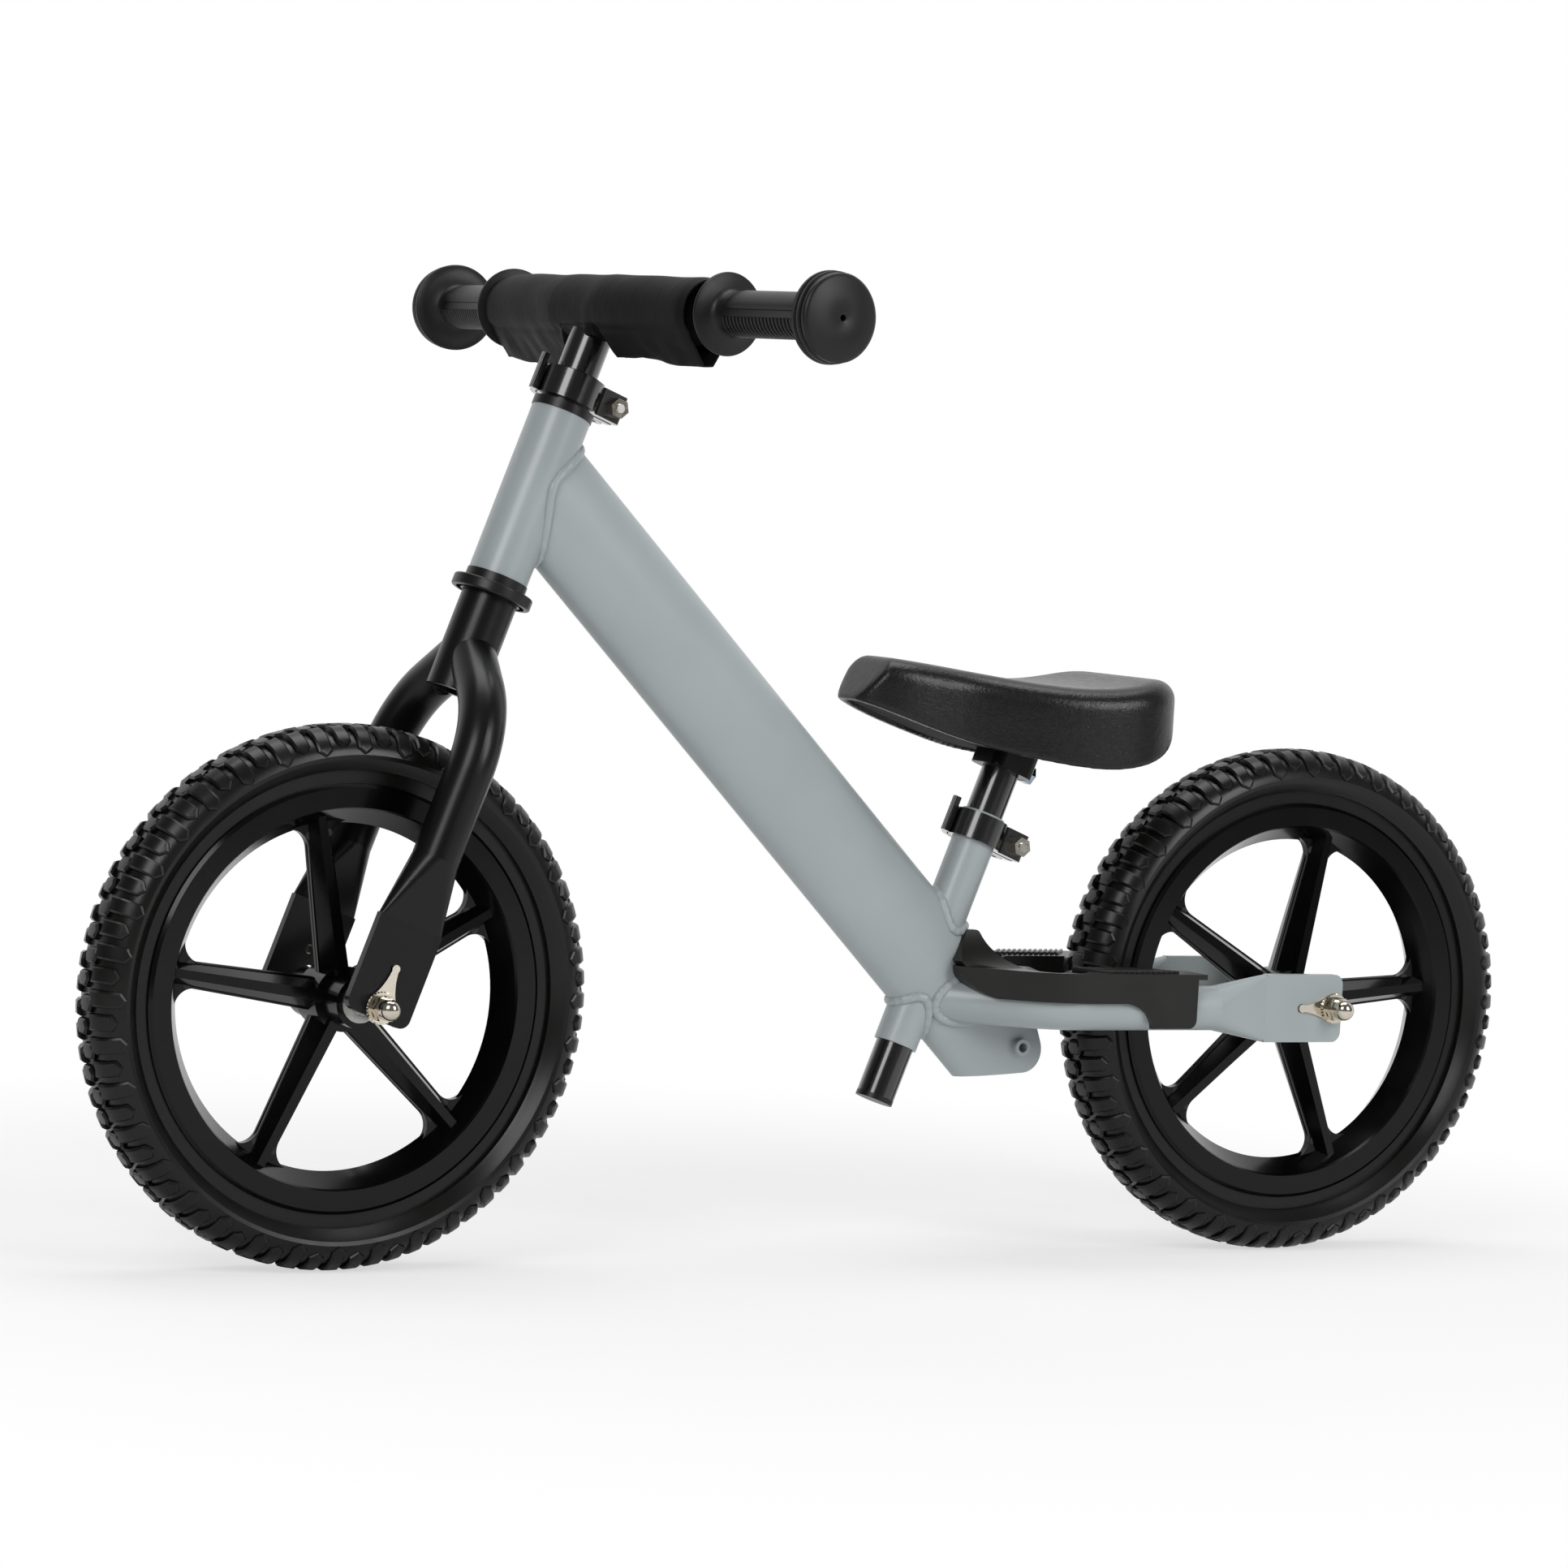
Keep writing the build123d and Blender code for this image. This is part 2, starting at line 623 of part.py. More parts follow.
def skewer_plane(plane, skewer_x):
    centre = plane.origin + plane.x_dir * skewer_x + plane.z_dir * (collar_height / 2)
    return Plane(origin=centre, x_dir=plane.x_dir, z_dir=left)


def pivot_plane(plane, tube_diameter, height):
    reach = tube_diameter / 2 + collar_wall + skewer_reach
    side = collar_gap / 2 + ear_thickness + moving_gap + lever_barrel / 2
    centre = plane.origin - plane.x_dir * reach - left * side + plane.z_dir * height
    return Plane(origin=centre, x_dir=plane.x_dir, z_dir=plane.z_dir)


def collar_skewer(plane, tube_diameter):
    side = collar_gap / 2 + ear_thickness + moving_gap + lever_barrel / 2
    length = side + collar_gap / 2 + ear_thickness + nut_height + 1
    pivot = pivot_plane(plane, tube_diameter, collar_height / 2)
    with BuildPart() as skewer:
        with BuildSketch(pivot):
            Circle(skewer_eye / 2)
        extrude(amount=eye_height / 2, both=True)
        with BuildSketch(Plane(origin=pivot.origin, x_dir=plane.x_dir, z_dir=left)):
            Circle(skewer_diameter / 2)
        extrude(amount=length)
        with BuildSketch(pivot):
            Circle(lever_pin / 2 + seat_fit)
        extrude(amount=eye_height, both=True, mode=Mode.SUBTRACT)
    return skewer.part


def collar_pin(plane, tube_diameter):
    with BuildPart() as pin:
        with BuildSketch(pivot_plane(plane, tube_diameter, collar_height / 2)):
            Circle(lever_pin / 2)
        extrude(amount=collar_height / 2 - 0.5, both=True)
    return pin.part


def collar_nut(plane, tube_diameter):
    skewer_x = -(tube_diameter / 2 + collar_wall + skewer_reach)
    base = skewer_plane(plane, skewer_x).offset(collar_gap / 2 + ear_thickness)
    with BuildPart() as nut:
        with BuildSketch(base):
            RegularPolygon(nut_size / 2, 6, major_radius=False)
            Circle(skewer_diameter / 2 + seat_fit, mode=Mode.SUBTRACT)
        extrude(amount=nut_height)
    return nut.part


def collar_lever(plane, tube_diameter):
    ring_radius = tube_diameter / 2 + collar_wall
    inner = ring_radius + 2 * moving_gap
    outer = inner + lever_band
    pivot_x = -(ring_radius + skewer_reach)
    pivot_y = -(collar_gap / 2 + ear_thickness + moving_gap + lever_barrel / 2)
    slant = math.sqrt(0.5)
    with BuildPart() as lever:
        with BuildSketch(plane):
            Circle(outer)
            Circle(inner, mode=Mode.SUBTRACT)
            with Locations((0, outer - 2)):
                Rectangle(4 * outer, 2 * outer, mode=Mode.SUBTRACT)
            with Locations((-outer, -outer * slant / 2)):
                Rectangle(2 * outer * slant, outer * slant, mode=Mode.SUBTRACT)
            with BuildLine():
                Polyline(
                    (pivot_x, pivot_y - lever_barrel / 2),
                    (-outer * slant + 2, -outer * slant - 1.6),
                    (-inner * slant + 0.4, -inner * slant - 0.4),
                    (pivot_x, pivot_y),
                    close=True,
                )
            make_face()
            with Locations((pivot_x, pivot_y)):
                Circle(lever_barrel / 2)
            with Locations((inner + lever_tip / 2, -4)):
                RectangleRounded(lever_tip, 4, 0.8)
        extrude(amount=collar_height)
        with BuildSketch(plane.offset(lever_tip_rise)):
            with Locations((inner + lever_tip / 2, -4)):
                RectangleRounded(lever_tip, 4, 0.8)
        extrude(amount=collar_height)
        pivot = pivot_plane(plane, tube_diameter, collar_height / 2)
        with BuildSketch(pivot):
            Circle(lever_barrel / 2 + 1.5)
        extrude(amount=eye_height / 2 + moving_gap, both=True, mode=Mode.SUBTRACT)
        with BuildSketch(pivot):
            Circle(lever_pin / 2 + running_fit)
        extrude(amount=collar_height, both=True, mode=Mode.SUBTRACT)
    return lever.part


for name, plane, tube_diameter in (
    ("bar_collar", head_plane(bar_collar_bottom), steerer_diameter),
    ("seat_collar", seat_plane(seat_collar_bottom), seat_tube_diameter),
):
    pieces = {
        name: collar_ring(plane, tube_diameter),
        name + "_skewer": collar_skewer(plane, tube_diameter),
        name + "_pin": collar_pin(plane, tube_diameter),
        name + "_nut": collar_nut(plane, tube_diameter),
        name + "_lever": collar_lever(plane, tube_diameter),
    }
    for label, piece in pieces.items():
        piece.label = label
        export_step(piece, "parts/" + label + ".step")

# Handlebar: stem coped under a crossbar swept back at both ends
bar_centre = head_point(bar_height, 0)
sweep_angle = math.radians(bar_sweep)
arm = Vector(-math.sin(sweep_angle), math.cos(sweep_angle), 0)
arm_right = Vector(arm.X, -arm.Y, 0)
bend_left = bar_centre + left * bar_straight
bend_right = bar_centre - left * bar_straight


def bar_path(reach):
    return FilletPolyline(
        bend_right + arm_right * reach,
        bend_right,
        bend_left,
        bend_left + arm * reach,
        radius=bar_bend,
    )


with BuildPart() as crossbar:
    with BuildLine() as bar_line:
        bar_path(bar_arm)
    with BuildSketch(Plane(origin=bend_right + arm_right * bar_arm, z_dir=arm_right * -1)):
        Circle(bar_diameter / 2)
        Circle(bar_diameter / 2 - bar_wall, mode=Mode.SUBTRACT)
    sweep(path=bar_line.wires()[0])
crossbar.part.label = "crossbar"
export_step(crossbar.part, "parts/crossbar.step")

with BuildPart() as stem:
    with BuildSketch(head_plane(bar_collar_top - stem_insert)):
        Circle(stem_diameter / 2)
        Circle(stem_diameter / 2 - stem_wall, mode=Mode.SUBTRACT)
    extrude(amount=bar_height - bar_collar_top + stem_insert)
    with BuildSketch(Plane(origin=bar_centre, x_dir=(1, 0, 0), z_dir=left)):
        Circle(bar_diameter / 2)
    extrude(amount=stem_diameter, both=True, mode=Mode.SUBTRACT)
stem.part.label = "stem"
export_step(stem.part, "parts/stem.step")

# Grips, turned about the swept ends of the crossbar
grip_end = bar_arm + 7.0
with BuildPart() as grip_left:
    with BuildSketch(Plane(origin=bend_left, x_dir=(0, 0, 1), z_dir=Vector(0, 0, 1).cross(arm))):
        with BuildLine():
            Polyline(
                (bar_diameter / 2 + seat_fit, grip_start),
                (grip_inner_flange / 2, grip_start),
                (grip_inner_flange / 2, grip_start + 2.2),
                (grip_diameter / 2 + 3, grip_start + 5),
                (grip_diameter / 2, grip_start + 8),
                (grip_diameter / 2, grip_end - 17),
                (grip_outer_flange / 2 - 1, grip_end - 14),
                (grip_outer_flange / 2, grip_end - 13),
                (grip_outer_flange / 2, grip_end - 10),
                (grip_end_face / 2 - 1, grip_end - 9),
                (grip_end_face / 2 - 1, grip_end - 7.5),
                (grip_end_face / 2, grip_end - 7),
                (grip_end_face / 2, grip_end - 3.6),
                (grip_end_face / 2 - 1.4, grip_end - 2.2),
                (grip_end_face / 4, grip_end - 0.6),
                (grip_end_hole / 2, grip_end),
                (grip_end_hole / 2, bar_arm + seat_fit),
                (bar_diameter / 2 + seat_fit, bar_arm + seat_fit),
                close=True,
            )
        make_face()
    revolve(axis=Axis(bend_left, arm))
grip_left.part.label = "grip_left"
export_step(grip_left.part, "parts/grip_left.step")

with BuildPart() as grip_right:
    mirror(grip_left.part, about=Plane.XZ)
grip_right.part.label = "grip_right"
export_step(grip_right.part, "parts/grip_right.step")

# Bar pad: foam round the crossbar, and a cover whose flap hangs below it with a notch at the stem
pad_foot = Plane(origin=bend_right + arm_right * pad_end, x_dir=(0, 0, 1), z_dir=arm_right * -1)
with BuildPart() as pad_foam:
    with BuildLine() as foam_line:
        bar_path(pad_end)
    with BuildSketch(pad_foot):
        Circle(pad_foam_diameter / 2)
        Circle(bar_diameter / 2 + seat_fit, mode=Mode.SUBTRACT)
    sweep(path=foam_line.wires()[0])
    with BuildSketch(head_plane(bar_height)):
        Circle(stem_diameter / 2 + seat_fit)
    extrude(amount=-pad_diameter, mode=Mode.SUBTRACT)
pad_foam.part.label = "pad_foam"
export_step(pad_foam.part, "parts/pad_foam.step")

with BuildPart() as pad_cover:
    with BuildLine() as cover_path:
        bar_path(pad_end)
    with BuildSketch(pad_foot):
        Circle(pad_diameter / 2)
        with BuildLine():
            Polyline(
                (-6, -pad_diameter / 2 + 0.9),
                (-pad_flap, -pad_flap_thickness),
                (-pad_flap, pad_flap_thickness),
                (-6, pad_diameter / 2 - 0.9),
                close=True,
            )
        make_face()
        Circle(pad_foam_diameter / 2 + seat_fit, mode=Mode.SUBTRACT)
    sweep(path=cover_path.wires()[0])
    with BuildSketch(head_plane(bar_height)):
        Circle(stem_diameter / 2 + seat_fit)
    extrude(amount=-pad_diameter, mode=Mode.SUBTRACT)
    with BuildSketch(head_plane(bar_height - pad_notch_top)):
        Rectangle(2 * pad_diameter, 2 * pad_notch)
    extrude(amount=-pad_diameter, mode=Mode.SUBTRACT)
pad_cover.part.label = "pad_cover"
export_step(pad_cover.part, "parts/pad_cover.step")


# Wheels: moulded rim with five ridged spokes and a hub, foam tyre, two bearings
def wheel_rim(axle, start_angle):
    half = rim_width / 2
    upright = Plane(origin=axle, x_dir=(1, 0, 0), z_dir=(0, -1, 0))
    with BuildPart() as rim:
        with BuildSketch(Plane(origin=axle)):
            with BuildLine():
                Polyline(
                    (rim_inner / 2, 0),
                    (rim_face / 2 - 1, half - 1.5),
                    (rim_face / 2, half),
                    (rim_lip / 2 - 2, half),
                    (rim_lip / 2, half - 1.5),
                    (rim_lip / 2, half - rim_lip_width),
                    (rim_seat / 2, half - rim_lip_width - 1),
                    (rim_seat / 2, rim_lip_width + 1 - half),
                    (rim_lip / 2, rim_lip_width - half),
                    (rim_lip / 2, 1.5 - half),
                    (rim_lip / 2 - 2, -half),
                    (rim_face / 2, -half),
                    (rim_face / 2 - 1, 1.5 - half),
                    close=True,
                )
            make_face()
        revolve(axis=Axis(axle, (0, 1, 0)))
        neck = rim_inner / 2 - spoke_flare
        foot = spoke_rim_width / 2 + spoke_flare
        for index in range(spoke_count):
            angle = math.radians(start_angle + 360 / spoke_count * index)
            out = Vector(math.cos(angle), 0, math.sin(angle))
            with BuildSketch(Plane(origin=axle, x_dir=out, z_dir=(0, -1, 0))):
                with BuildLine():
                    Line((neck, spoke_rim_width / 2), (0, spoke_hub_width / 2))
                    Line((0, spoke_hub_width / 2), (0, -spoke_hub_width / 2))
                    Line((0, -spoke_hub_width / 2), (neck, -spoke_rim_width / 2))
                    CenterArc((neck, -foot), spoke_flare, 90, -90)
                    Polyline(
                        (rim_inner / 2, -foot),
                        (rim_face / 2, -foot),
                        (rim_face / 2, foot),
                        (rim_inner / 2, foot),
                    )
                    CenterArc((neck, foot), spoke_flare, 0, -90)
                make_face()
            extrude(amount=spoke_web / 2, both=True)
            for reach, width, depth in (
                (hub_diameter / 4, spoke_hub_width, spoke_hub_depth),
                (rim_face / 2 - 2, spoke_rim_width, spoke_rim_depth),
            ):
                with BuildSketch(Plane(origin=axle + out * reach, x_dir=left, z_dir=out)):
                    with BuildLine():
                        Polyline(
                            (0, width / 2),
                            (depth / 2, width / 6),
                            (depth / 2, -width / 6),
                            (0, -width / 2),
                            (-depth / 2, -width / 6),
                            (-depth / 2, width / 6),
                            close=True,
                        )
                    make_face()
            loft(ruled=True)
        with BuildSketch(upright):
            Circle(hub_flange_diameter / 2)
        extrude(amount=hub_flange_width / 2, both=True)
        with BuildSketch(upright):
            Circle(hub_diameter / 2)
        extrude(amount=hub_half, both=True)
        with BuildSketch(upright):
            Circle(hub_bore / 2)
        extrude(amount=hub_length, both=True, mode=Mode.SUBTRACT)
        for side in (1, -1):
            seat = axle + left * (side * (hub_half - bearing_width + bearing_stand))
            with BuildSketch(Plane(origin=seat, x_dir=(1, 0, 0), z_dir=left * side)):
                Circle(bearing_diameter / 2 + seat_fit)
            extrude(amount=bearing_width, mode=Mode.SUBTRACT)
    return rim.part


def wheel_tyre(axle):
    half = rim_width / 2
    wide = tyre_width / 2
    lip = rim_lip / 2 + seat_fit
    with BuildPart() as tyre:
        with BuildSketch(Plane(origin=axle)):
            with BuildLine():
                Polyline(
                    (tyre_bead / 2, half),
                    (tyre_bead / 2, half - tyre_groove),
                    (lip, half - tyre_groove),
                    (lip, half - rim_lip_width - seat_fit),
                    (rim_seat / 2 + seat_fit, half - rim_lip_width - 1 - seat_fit),
                    (rim_seat / 2 + seat_fit, rim_lip_width + 1 + seat_fit - half),
                    (lip, rim_lip_width + seat_fit - half),
                    (lip, tyre_groove - half),
                    (tyre_bead / 2, tyre_groove - half),
                    (tyre_bead / 2, -half),
                )
                Spline(
                    (tyre_bead / 2, -half),
                    (tyre_bead / 2 + 5.5, -wide + 2),
                    ((tyre_bead / 2 + tyre_radius) / 2 - 2, -wide),
                    (tyre_radius - 6, -wide + 5),
                    (tyre_radius - 0.8, -wide / 3),
                    (tyre_radius, 0),
                    (tyre_radius - 0.8, wide / 3),
                    (tyre_radius - 6, wide - 5),
                    ((tyre_bead / 2 + tyre_radius) / 2 - 2, wide),
                    (tyre_bead / 2 + 5.5, wide - 2),
                    (tyre_bead / 2, half),
                )
            make_face()
        revolve(axis=Axis(axle, (0, 1, 0)))
    return tyre.part


def wheel_bearings(axle):
    with BuildPart() as bearings:
        for side in (1, -1):
            seat = axle + left * (side * (hub_half - bearing_width + bearing_stand))
            with BuildSketch(Plane(origin=seat, x_dir=(1, 0, 0), z_dir=left * side)):
                Circle(bearing_diameter / 2)
                Circle(axle_diameter / 2 + running_fit, mode=Mode.SUBTRACT)
            extrude(amount=bearing_width)
    return bearings.part


def axle_rod(axle):
    with BuildPart() as rod:
        with BuildSketch(Plane(origin=axle, x_dir=(1, 0, 0), z_dir=left)):
            Circle(axle_diameter / 2)
        extrude(amount=dropout_outer + washer_thickness + axle_nut_height + 2, both=True)
    return rod.part


def axle_spacers(axle):
    start = hub_half + bearing_stand + moving_gap
    with BuildPart() as spacers:
        for side in (1, -1):
            with BuildSketch(Plane(origin=axle + left * (side * start), x_dir=(1, 0, 0), z_dir=left * side)):
                Circle(spacer_diameter / 2)
                Circle(axle_diameter / 2 + seat_fit, mode=Mode.SUBTRACT)
            extrude(amount=dropout_inner - start)
    return spacers.part


def axle_washers(axle, toward):
    shoulder = washer_diameter / 2 - 0.6
    neck = tab_hole / 2 - 0.8
    with BuildPart() as washers:
        for side in (1, -1):
            face = Plane(origin=axle + left * (side * dropout_outer), x_dir=toward, z_dir=left * side)
            with BuildSketch(face):
                Circle(washer_diameter / 2)
                with BuildLine():
                    ThreePointArc((3, shoulder), (tab_distance / 2, shoulder / 2), (tab_distance, neck))
                    Line((tab_distance, neck), (tab_distance, -neck))
                    ThreePointArc((tab_distance, -neck), (tab_distance / 2, -shoulder / 2), (3, -shoulder))
                    Line((3, -shoulder), (3, shoulder))
                make_face()
                Circle(axle_diameter / 2 + seat_fit, mode=Mode.SUBTRACT)
            extrude(amount=washer_thickness)
            with BuildSketch(face):
                with Locations((tab_distance, 0)):
                    Circle(tab_hole / 2 - 0.3)
            extrude(amount=washer_thickness)
            with BuildSketch(face):
                with Locations((tab_distance, 0)):
                    Circle(tab_hole / 2 - 0.3)
            extrude(amount=-dropout_thickness / 2)
    return washers.part


def axle_nuts(axle):
    start = dropout_outer + washer_thickness
    with BuildPart() as nuts:
        for side in (1, -1):
            base = Plane(origin=axle + left * (side * start), x_dir=(1, 0, 0), z_dir=left * side)
            with BuildSketch(base):
                RegularPolygon(axle_nut_size / 2, 6, major_radius=False)
            extrude(amount=axle_nut_height)
            with BuildSketch(base.offset(axle_nut_height)):
                Circle(dome_diameter / 2)
            extrude(amount=dome_neck)
            with Locations(base.offset(axle_nut_height + dome_neck).origin):
                Sphere(dome_diameter / 2)
            with BuildSketch(base):
                Circle(axle_diameter / 2 + seat_fit)
            extrude(amount=axle_nut_height + 2.2, mode=Mode.SUBTRACT)
    return nuts.part


for end, axle, toward, start_angle in (
    ("front", front_axle, head_up, front_spoke_angle),
    ("rear", rear_axle, Vector(1, 0, 0), rear_spoke_angle),
):
    pieces = {
        end + "_rim": wheel_rim(axle, start_angle),
        end + "_tyre": wheel_tyre(axle),
        end + "_bearings": wheel_bearings(axle),
        end + "_axle": axle_rod(axle),
        end + "_spacers": axle_spacers(axle),
        end + "_washers": axle_washers(axle, toward),
        end + "_axle_nuts": axle_nuts(axle),
    }
    for label, piece in pieces.items():
        piece.label = label
        export_step(piece, "parts/" + label + ".step")

# Seat post and its end plug
post_top = seat_tube_above + post_exposed + bracket_height / 4
post_bottom = -seat_tube_below - post_tail
with BuildPart() as seat_post:
    with BuildSketch(seat_plane(post_bottom + plug_lip)):
        Circle(post_diameter / 2)
        Circle(post_diameter / 2 - post_wall, mode=Mode.SUBTRACT)
    extrude(amount=post_top - post_bottom - plug_lip)
seat_post.part.label = "seat_post"
export_step(seat_post.part, "parts/seat_post.step")

with BuildPart() as post_plug:
    with BuildSketch(seat_plane(post_bottom)):
        Circle(post_diameter / 2)
    extrude(amount=plug_lip)
    with BuildSketch(seat_plane(post_bottom)):
        Circle(post_diameter / 2 - post_wall - seat_fit)
    extrude(amount=plug_depth)
post_plug.part.label = "post_plug"
export_step(post_plug.part, "parts/post_plug.step")

# Saddle: side outline crossed with plan outline, measured from the clamp point on the seat axis
saddle_point = seat_plane(seat_tube_above + post_exposed).origin
saddle_side = Plane(origin=saddle_point + left * saddle_width, x_dir=(1, 0, 0), z_dir=(0, -1, 0))
saddle_above = Plane(origin=saddle_point, x_dir=(1, 0, 0), z_dir=(0, 0, 1))


def skirt_points(rise):
    return [
        (saddle_front, saddle_nose_low + rise),
        (0.45 * saddle_front, 0.5 * saddle_nose_low + rise),
        (-0.1 * saddle_front, 1.15 * saddle_sag + rise),
        (-0.5 * saddle_rear, saddle_sag + rise),
        (-0.78 * saddle_rear, 2.3 * saddle_sag + rise),
        (-0.95 * saddle_rear, 4.4 * saddle_sag + rise),
        (-saddle_rear, saddle_tail_low + rise),
    ]


def plan_points(inset):
    half = saddle_width / 2 - inset
    nose = saddle_nose_width / 2 - inset
    front = saddle_front - inset
    rear = saddle_rear - inset
    side = [
        (0.97 * front, 0.62 * nose),
        (0.86 * front, nose),
        (0.42 * front, nose + 0.16 * half),
        (0.05 * front, 0.8 * half),
        (-0.42 * rear, 0.995 * half),
        (-0.75 * rear, 0.95 * half),
        (-0.93 * rear, 0.68 * half),
        (-rear, 0.2 * half),
    ]
    return [(1.01 * front, 0)] + side + [(x, -y) for x, y in reversed(side)]


def pan_form(low, high, inset):
    with BuildPart() as form:
        with BuildSketch(saddle_side):
            with BuildLine():
                Spline(*skirt_points(low))
                Line(skirt_points(low)[-1], skirt_points(high)[-1])
                Spline(*skirt_points(high))
                Line(skirt_points(high)[0], skirt_points(low)[0])
            make_face()
        extrude(amount=2 * saddle_width)
        with BuildSketch(saddle_above):
            with BuildLine():
                Spline(*plan_points(inset), periodic=True)
            make_face()
        extrude(amount=2 * saddle_nose_high, both=True, mode=Mode.INTERSECT)
    return form.part


with BuildPart() as saddle_pan:
    add(pan_form(pan_recess, pan_recess + pan_thickness, pan_inset))
saddle_pan.part.label = "saddle_pan"
export_step(saddle_pan.part, "parts/saddle_pan.step")

with BuildPart() as saddle_cushion:
    with BuildSketch(saddle_side):
        with BuildLine():
            Spline(*skirt_points(0))
            Spline(
                (-saddle_rear, saddle_tail_low),
                (-0.98 * saddle_rear, 0.78 * saddle_nose_high),
                (-0.87 * saddle_rear, 0.89 * saddle_nose_high),
                (-0.65 * saddle_rear, 0.86 * saddle_nose_high),
                (-0.2 * saddle_rear, 0.805 * saddle_nose_high),
                (0.35 * saddle_front, 0.9 * saddle_nose_high),
                (0.7 * saddle_front, 0.977 * saddle_nose_high),
                (saddle_front - saddle_nose_slant, saddle_nose_high),
            )
            Line((saddle_front - saddle_nose_slant, saddle_nose_high), (saddle_front, saddle_nose_low))
        make_face()
    extrude(amount=2 * saddle_width)
    with BuildSketch(saddle_above):
        with BuildLine():
            Spline(*plan_points(0), periodic=True)
        make_face()
    extrude(amount=2 * saddle_nose_high, mode=Mode.INTERSECT)
    fillet(saddle_cushion.edges().sort_by(SortBy.LENGTH)[-1], saddle_round)
    nose_edges = saddle_cushion.edges().filter_by(
        lambda edge: edge.center().X > saddle_point.X + 0.6 * saddle_front
        and edge.center().Z > saddle_point.Z + saddle_nose_low + 1
        and edge.bounding_box().size.length < saddle_front / 2
    )
    fillet(nose_edges, saddle_nose_round)
    add(pan_form(-pan_inset, pan_recess + pan_thickness + seat_fit, pan_inset - seat_fit), mode=Mode.SUBTRACT)
saddle_cushion.part.label = "saddle_cushion"
export_step(saddle_cushion.part, "parts/saddle_cushion.step")

# Saddle bracket clamped round the post, with its pinch bolt at the rear
with BuildPart() as saddle_bracket:
    with BuildSketch(seat_plane(seat_tube_above + post_exposed)):
        RectangleRounded(bracket_length, bracket_width, 6)
    extrude(amount=2 * bracket_height)
    add(pan_form(pan_recess, 2 * bracket_height + pan_recess, pan_inset), mode=Mode.SUBTRACT)
    with BuildSketch(seat_plane(0)):
        Circle(post_diameter / 2 + seat_fit)
    extrude(amount=post_top, mode=Mode.SUBTRACT)
    bolt_spot = seat_plane(seat_tube_above + post_exposed + bracket_height / 3).origin
    bolt_face = Plane(
        origin=bolt_spot - seat_forward * (bracket_length / 2), x_dir=left, z_dir=seat_forward * -1
    )
    with BuildSketch(bolt_face):
        Circle(bracket_bolt / 2)
    extrude(amount=-bracket_bolt / 2, mode=Mode.SUBTRACT)
saddle_bracket.part.label = "saddle_bracket"
export_step(saddle_bracket.part, "parts/saddle_bracket.step")

with BuildPart() as bracket_screw:
    with BuildSketch(bolt_face):
        RegularPolygon(bracket_bolt_head / 2, 6, major_radius=False)
    extrude(amount=bracket_bolt)
    with BuildSketch(bolt_face):
        Circle(bracket_bolt / 2 - seat_fit)
    extrude(amount=seat_fit - bracket_bolt / 2)
bracket_screw.part.label = "bracket_screw"
export_step(bracket_screw.part, "parts/bracket_screw.step")
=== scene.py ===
import bmesh
import bpy
import json
import math
from mathutils import Matrix, Vector, noise


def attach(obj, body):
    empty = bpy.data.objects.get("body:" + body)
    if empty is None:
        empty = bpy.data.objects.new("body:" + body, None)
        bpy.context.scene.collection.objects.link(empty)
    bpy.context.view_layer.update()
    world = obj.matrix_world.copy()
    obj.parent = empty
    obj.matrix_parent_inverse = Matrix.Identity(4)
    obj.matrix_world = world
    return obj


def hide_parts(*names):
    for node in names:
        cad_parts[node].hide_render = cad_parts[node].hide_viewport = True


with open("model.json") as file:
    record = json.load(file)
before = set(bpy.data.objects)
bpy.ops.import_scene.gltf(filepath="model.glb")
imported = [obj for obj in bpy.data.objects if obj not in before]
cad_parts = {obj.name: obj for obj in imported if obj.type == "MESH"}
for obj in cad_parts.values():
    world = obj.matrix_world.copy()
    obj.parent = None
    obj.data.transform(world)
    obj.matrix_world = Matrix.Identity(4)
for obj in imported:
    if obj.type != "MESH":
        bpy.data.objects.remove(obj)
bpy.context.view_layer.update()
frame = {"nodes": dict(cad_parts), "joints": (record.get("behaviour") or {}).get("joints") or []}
nodes = frame["nodes"]
joints = {joint["name"]: joint for joint in frame["joints"]}
mm = 0.001

frontAxle = Vector(joints["front_spin"]["pos_m"])
rearAxle = Vector(joints["rear_spin"]["pos_m"])
headUp = Vector(joints["steering"]["axis"])
seatUp = Vector(joints["seat_height"]["axis"])
across = Vector((0, 1, 0))
upright = Vector((0, 0, 1))
headForward = across.cross(headUp).normalized()
seatForward = across.cross(seatUp).normalized()
seatFoot = Vector((-0.057, 0, 0.150))  # where the seat tube crosses axle height
print("frame loaded:", len(nodes), "nodes")


def linear(hexCode):
    parts = [int(hexCode[i:i + 2], 16) / 255 for i in (1, 3, 5)]
    return [p / 12.92 if p <= 0.04045 else ((p + 0.055) / 1.055) ** 2.4 for p in parts] + [1.0]


def smoothStep(low, high, value):
    share = min(1, max(0, (value - low) / (high - low)))
    return share * share * (3 - 2 * share)


def addNode(tree, kind, sockets=None, **settings):
    node = tree.nodes.new(kind)
    for name, value in settings.items():
        setattr(node, name, value)
    for name, value in (sockets or {}).items():
        if isinstance(value, bpy.types.NodeSocket):
            tree.links.new(value, node.inputs[name])
        else:
            node.inputs[name].default_value = value
    return node


def newMaterial(name, **sockets):
    material = bpy.data.materials.new(name)
    material.use_nodes = True
    tree = material.node_tree
    shader = tree.nodes["Principled BSDF"]
    for key, value in sockets.items():
        shader.inputs[key.replace("_", " ")].default_value = value
    place = addNode(tree, "ShaderNodeTexCoord").outputs["Object"]
    return material, tree, shader, place


